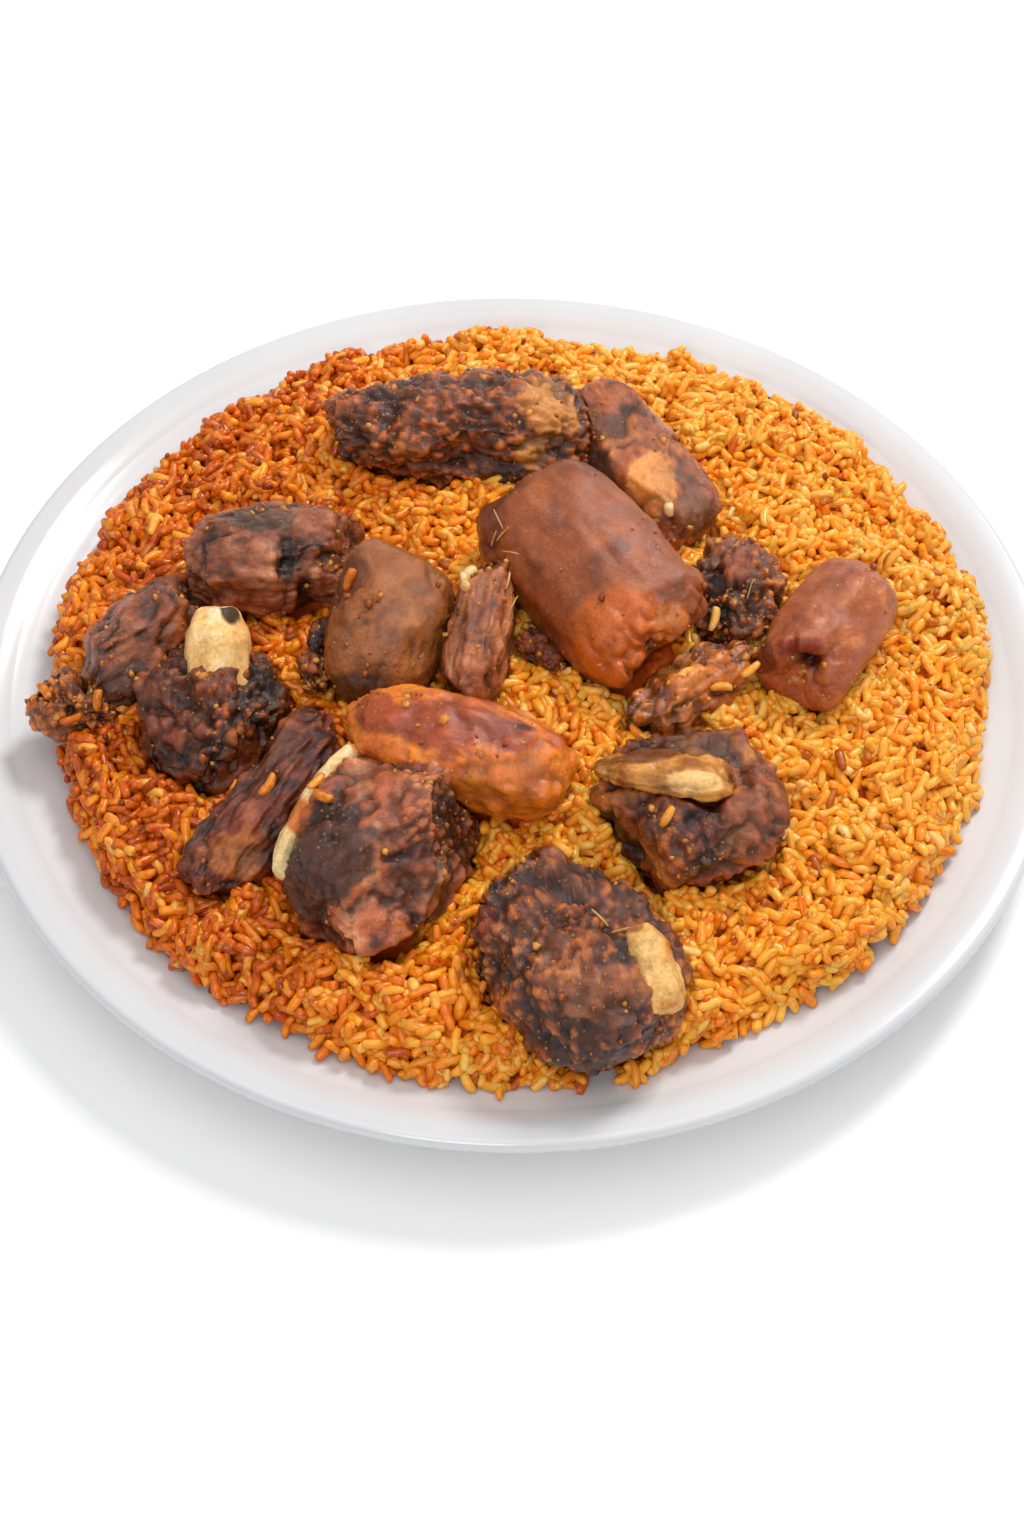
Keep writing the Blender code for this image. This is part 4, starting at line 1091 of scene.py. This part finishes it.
pick = np.random.default_rng(81)
places, grades = [], []
for node, (points, out, cover) in skins.items():
    if node in MEAT:
        exposed = np.clip(out[:, 2] + 0.2, 0, 1) * (0.08 + cover)
        count = int(FEWEST_CRUMBS + CRUMBS_FOR_CRUST * MEAT[node].get("crust", 0.2))
        chosen = pick.choice(len(points), count, p=exposed / exposed.sum())
        places.append(points[chosen])
        grades.append(pick.uniform(0, 1, count))
places = np.concatenate(places)
size = np.clip(pick.gamma(3.0, 0.2, len(places)), 0.25, 1.5) * MM
spice = rice_material("crumbs of spice crust", "7A3A16", "B0601F", "E09A40", 0.35)
crumbs("crust_crumbs", places, size, np.concatenate(grades), pick, spice, "fried_meat")
top_grains = middles[level == 0]
chosen = pick.choice(len(top_grains), FLECKS)
flecks = top_grains[chosen] + pick.uniform(-1, 1, (FLECKS, 3)) * MM + [0, 0, 1.3 * MM]
size = np.clip(pick.gamma(2.0, 0.25, FLECKS), 0.25, 1.9) * MM
fleck = rice_material("flecks of pepper and onion", "54160A", "8E3210", "C86420", 0.35)
crumbs("rice_flecks", flecks, size, pick.uniform(0, 1, FLECKS), pick, fleck, "jollof_rice")
print(len(places), "crumbs on the meat and", len(flecks), "flecks on the rice")


# %% Shreds and grains that stuck


def perched(node, at, lift):
    """The point of a cooked piece nearest to a spot in its box, lifted along its outward direction."""
    points, out, _ = skins[node]
    low, high = (np.array(corner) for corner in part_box(node))
    near_one = np.argmin(((points - low - (high - low) * np.array(at)) ** 2).sum(axis=1))
    return points[near_one] + out[near_one] * lift * MM, out[near_one]


def stuck(name, spots, pick, stretch, lift, rise, material, slot):
    """Grain forms set on the meat: each lies across the outward direction, turned by its yaw in degrees."""
    centre, along = [], []
    for node, at, yaw in spots:
        place, out = perched(node, at, lift)
        way = np.array([math.cos(math.radians(yaw)), math.sin(math.radians(yaw)), 0])
        way = way - out * (way @ out)
        centre.append(place)
        along.append(way / np.linalg.norm(way) + out * rise)
    along = np.array(along)
    along /= np.linalg.norm(along, axis=1, keepdims=True)
    return finished(placed(name, np.array(centre), along, pick, stretch), material, slot=slot)


stuck_grain = rice_material("rice stuck to the meat", "C46410", "F09A2C", "FFC46A", 0.28)
stuck("stuck_grains", [
    ("block_front", (0.2, 0.6, 0.95), 150), ("block_front", (0.14, 0.75, 0.85), 60),
    ("crumbly_end", (0.45, 0.1, 0.8), 30), ("crumbly_end", (0.7, 0.3, 0.9), 100),
    ("crumbly_end", (0.15, 0.4, 0.9), 160), ("tendon_flap", (0.9, 0.6, 0.8), 70),
    ("tendon_flap", (0.7, 0.3, 0.9), 20), ("char_lump", (0.2, 0.1, 0.7), 80),
    ("knuckle_front", (0.4, 0.9, 0.8), 120), ("chunk_right", (0.35, 0.25, 0.9), 40),
    ("heart_lobe", (0.15, 0.6, 0.95), 20), ("rib_strip", (0.55, 0.45, 0.95), 70),
], np.random.default_rng(91), (0.9, 0.95, 0.95), 0.9, 0.15, stuck_grain, "jollof_rice")
fat = rice_material("bits of soft fat", "C98F4E", "E6BC7C", "F4D8A6", 0.3)
stuck("fat_bits", [
    ("heart_slice", (0.3, 0.72, 0.9), 100), ("heart_slice", (0.36, 0.8, 0.92), 40),
    ("heart_slice", (0.3, 0.64, 0.88), 150), ("slab", (0.6, 0.1, 0.8), 60),
], np.random.default_rng(92), (0.6, 1.2, 0.9), 0.7, 0.1, fat, "fried_meat")
thread = rice_material("threads of meat", "A8682C", "D29A58", "EBC894", 0.4)
stuck("meat_threads", [
    ("skin_barrel", (0.1, 0.62, 0.85), 100), ("skin_barrel", (0.12, 0.56, 0.8), 20),
    ("skin_barrel", (0.14, 0.5, 0.78), 160), ("skin_barrel", (0.08, 0.58, 0.75), 60),
    ("heart_slice", (0.95, 0.7, 0.85), 110), ("heart_slice", (1.0, 0.6, 0.75), 70),
    ("knuckle_front", (0.7, 0.55, 1.0), 35), ("knuckle_front", (0.64, 0.6, 1.0), 10),
    ("chunk_right", (0.95, 0.3, 0.6), 100), ("char_lump", (0.6, 0.3, 0.9), 60),
], np.random.default_rng(93), (0.8, 0.13, 0.32), 0.4, 0.25, thread, "fried_meat")

# %% [markdown]
# ## Floor, light and camera
# The dish stands on a plain pale floor under soft studio light: an even surround and a large
# panel overhead, and two small ones that give the oil its highlights: the key, high behind and to the
# right, which also gives the dish its shadow, and a fill in front, which lightens that shadow.

# %% Floor
FLOOR_SIZE, FLOOR_TONE = 12, 0.3
floor_finish, tree, shader, spot = new_material("plain pale floor", Roughness=0.9)
tone = add(tree, "TexNoise", {"Scale": 1 / FLOOR_TONE, "Detail": 1}, {"Vector": spot}).outputs["Fac"]
pale = add(tree, "ValToRGB", links={"Fac": tone}, stops=[(0.3, "FAFAFA"), (0.7, "FBFBFB")])
tree.links.new(pale.outputs["Color"], shader.inputs["Base Color"])
bpy.ops.mesh.primitive_plane_add(size=FLOOR_SIZE)
floor = bpy.context.object
floor.name = "floor"
floor.data.materials.append(floor_finish)

# %% Light
SURROUND = 0.43
LIGHTS_AIM = Vector((0, 0, 0.03))
PANELS = {
    "overhead": ((0, -0.1, 1.3), 1.2, 5),
    "fill": ((-0.15, -0.85, 0.85), 0.35, 3),
    "key": ((0.45, 0.62, 0.95), 0.3, 8.5),
}
world = bpy.data.worlds.new("surround")
world.use_nodes = True
backdrop = world.node_tree.nodes["Background"].inputs
backdrop["Color"].default_value, backdrop["Strength"].default_value = (1, 1, 1, 1), SURROUND
bpy.context.scene.world = world


def panel(name, place, size, power):
    """A square light panel that faces the middle of the dish."""
    light = bpy.data.lights.new(name, "AREA")
    light.size = size
    light.energy = power
    lamp = bpy.data.objects.new(name, light)
    lamp.location = place
    lamp.rotation_euler = (LIGHTS_AIM - Vector(place)).to_track_quat("-Z", "Y").to_euler()
    bpy.context.scene.collection.objects.link(lamp)


for name, settings in PANELS.items():
    panel(name, *settings)
bpy.context.scene.view_settings.view_transform = "Standard"

# %% Camera
CAMERA_TILT = math.radians(53.34)
CAMERA_REACH = 0.6562
CAMERA_ROLL = math.radians(0.66)
CAMERA_TARGET = Vector((0.0001, -0.0243, 0))
toward = Vector((0, math.cos(CAMERA_TILT), -math.sin(CAMERA_TILT)))
eye = bpy.data.cameras.new("camera")
eye.lens = 50
eye.sensor_width = 36
camera = bpy.data.objects.new("camera", eye)
turn_to = toward.to_track_quat("-Z", "Y").to_matrix() @ Matrix.Rotation(CAMERA_ROLL, 3, "Z")
camera.matrix_world = Matrix.Translation(CAMERA_TARGET - toward * CAMERA_REACH) @ turn_to.to_4x4()
bpy.context.scene.collection.objects.link(camera)
bpy.context.scene.camera = camera
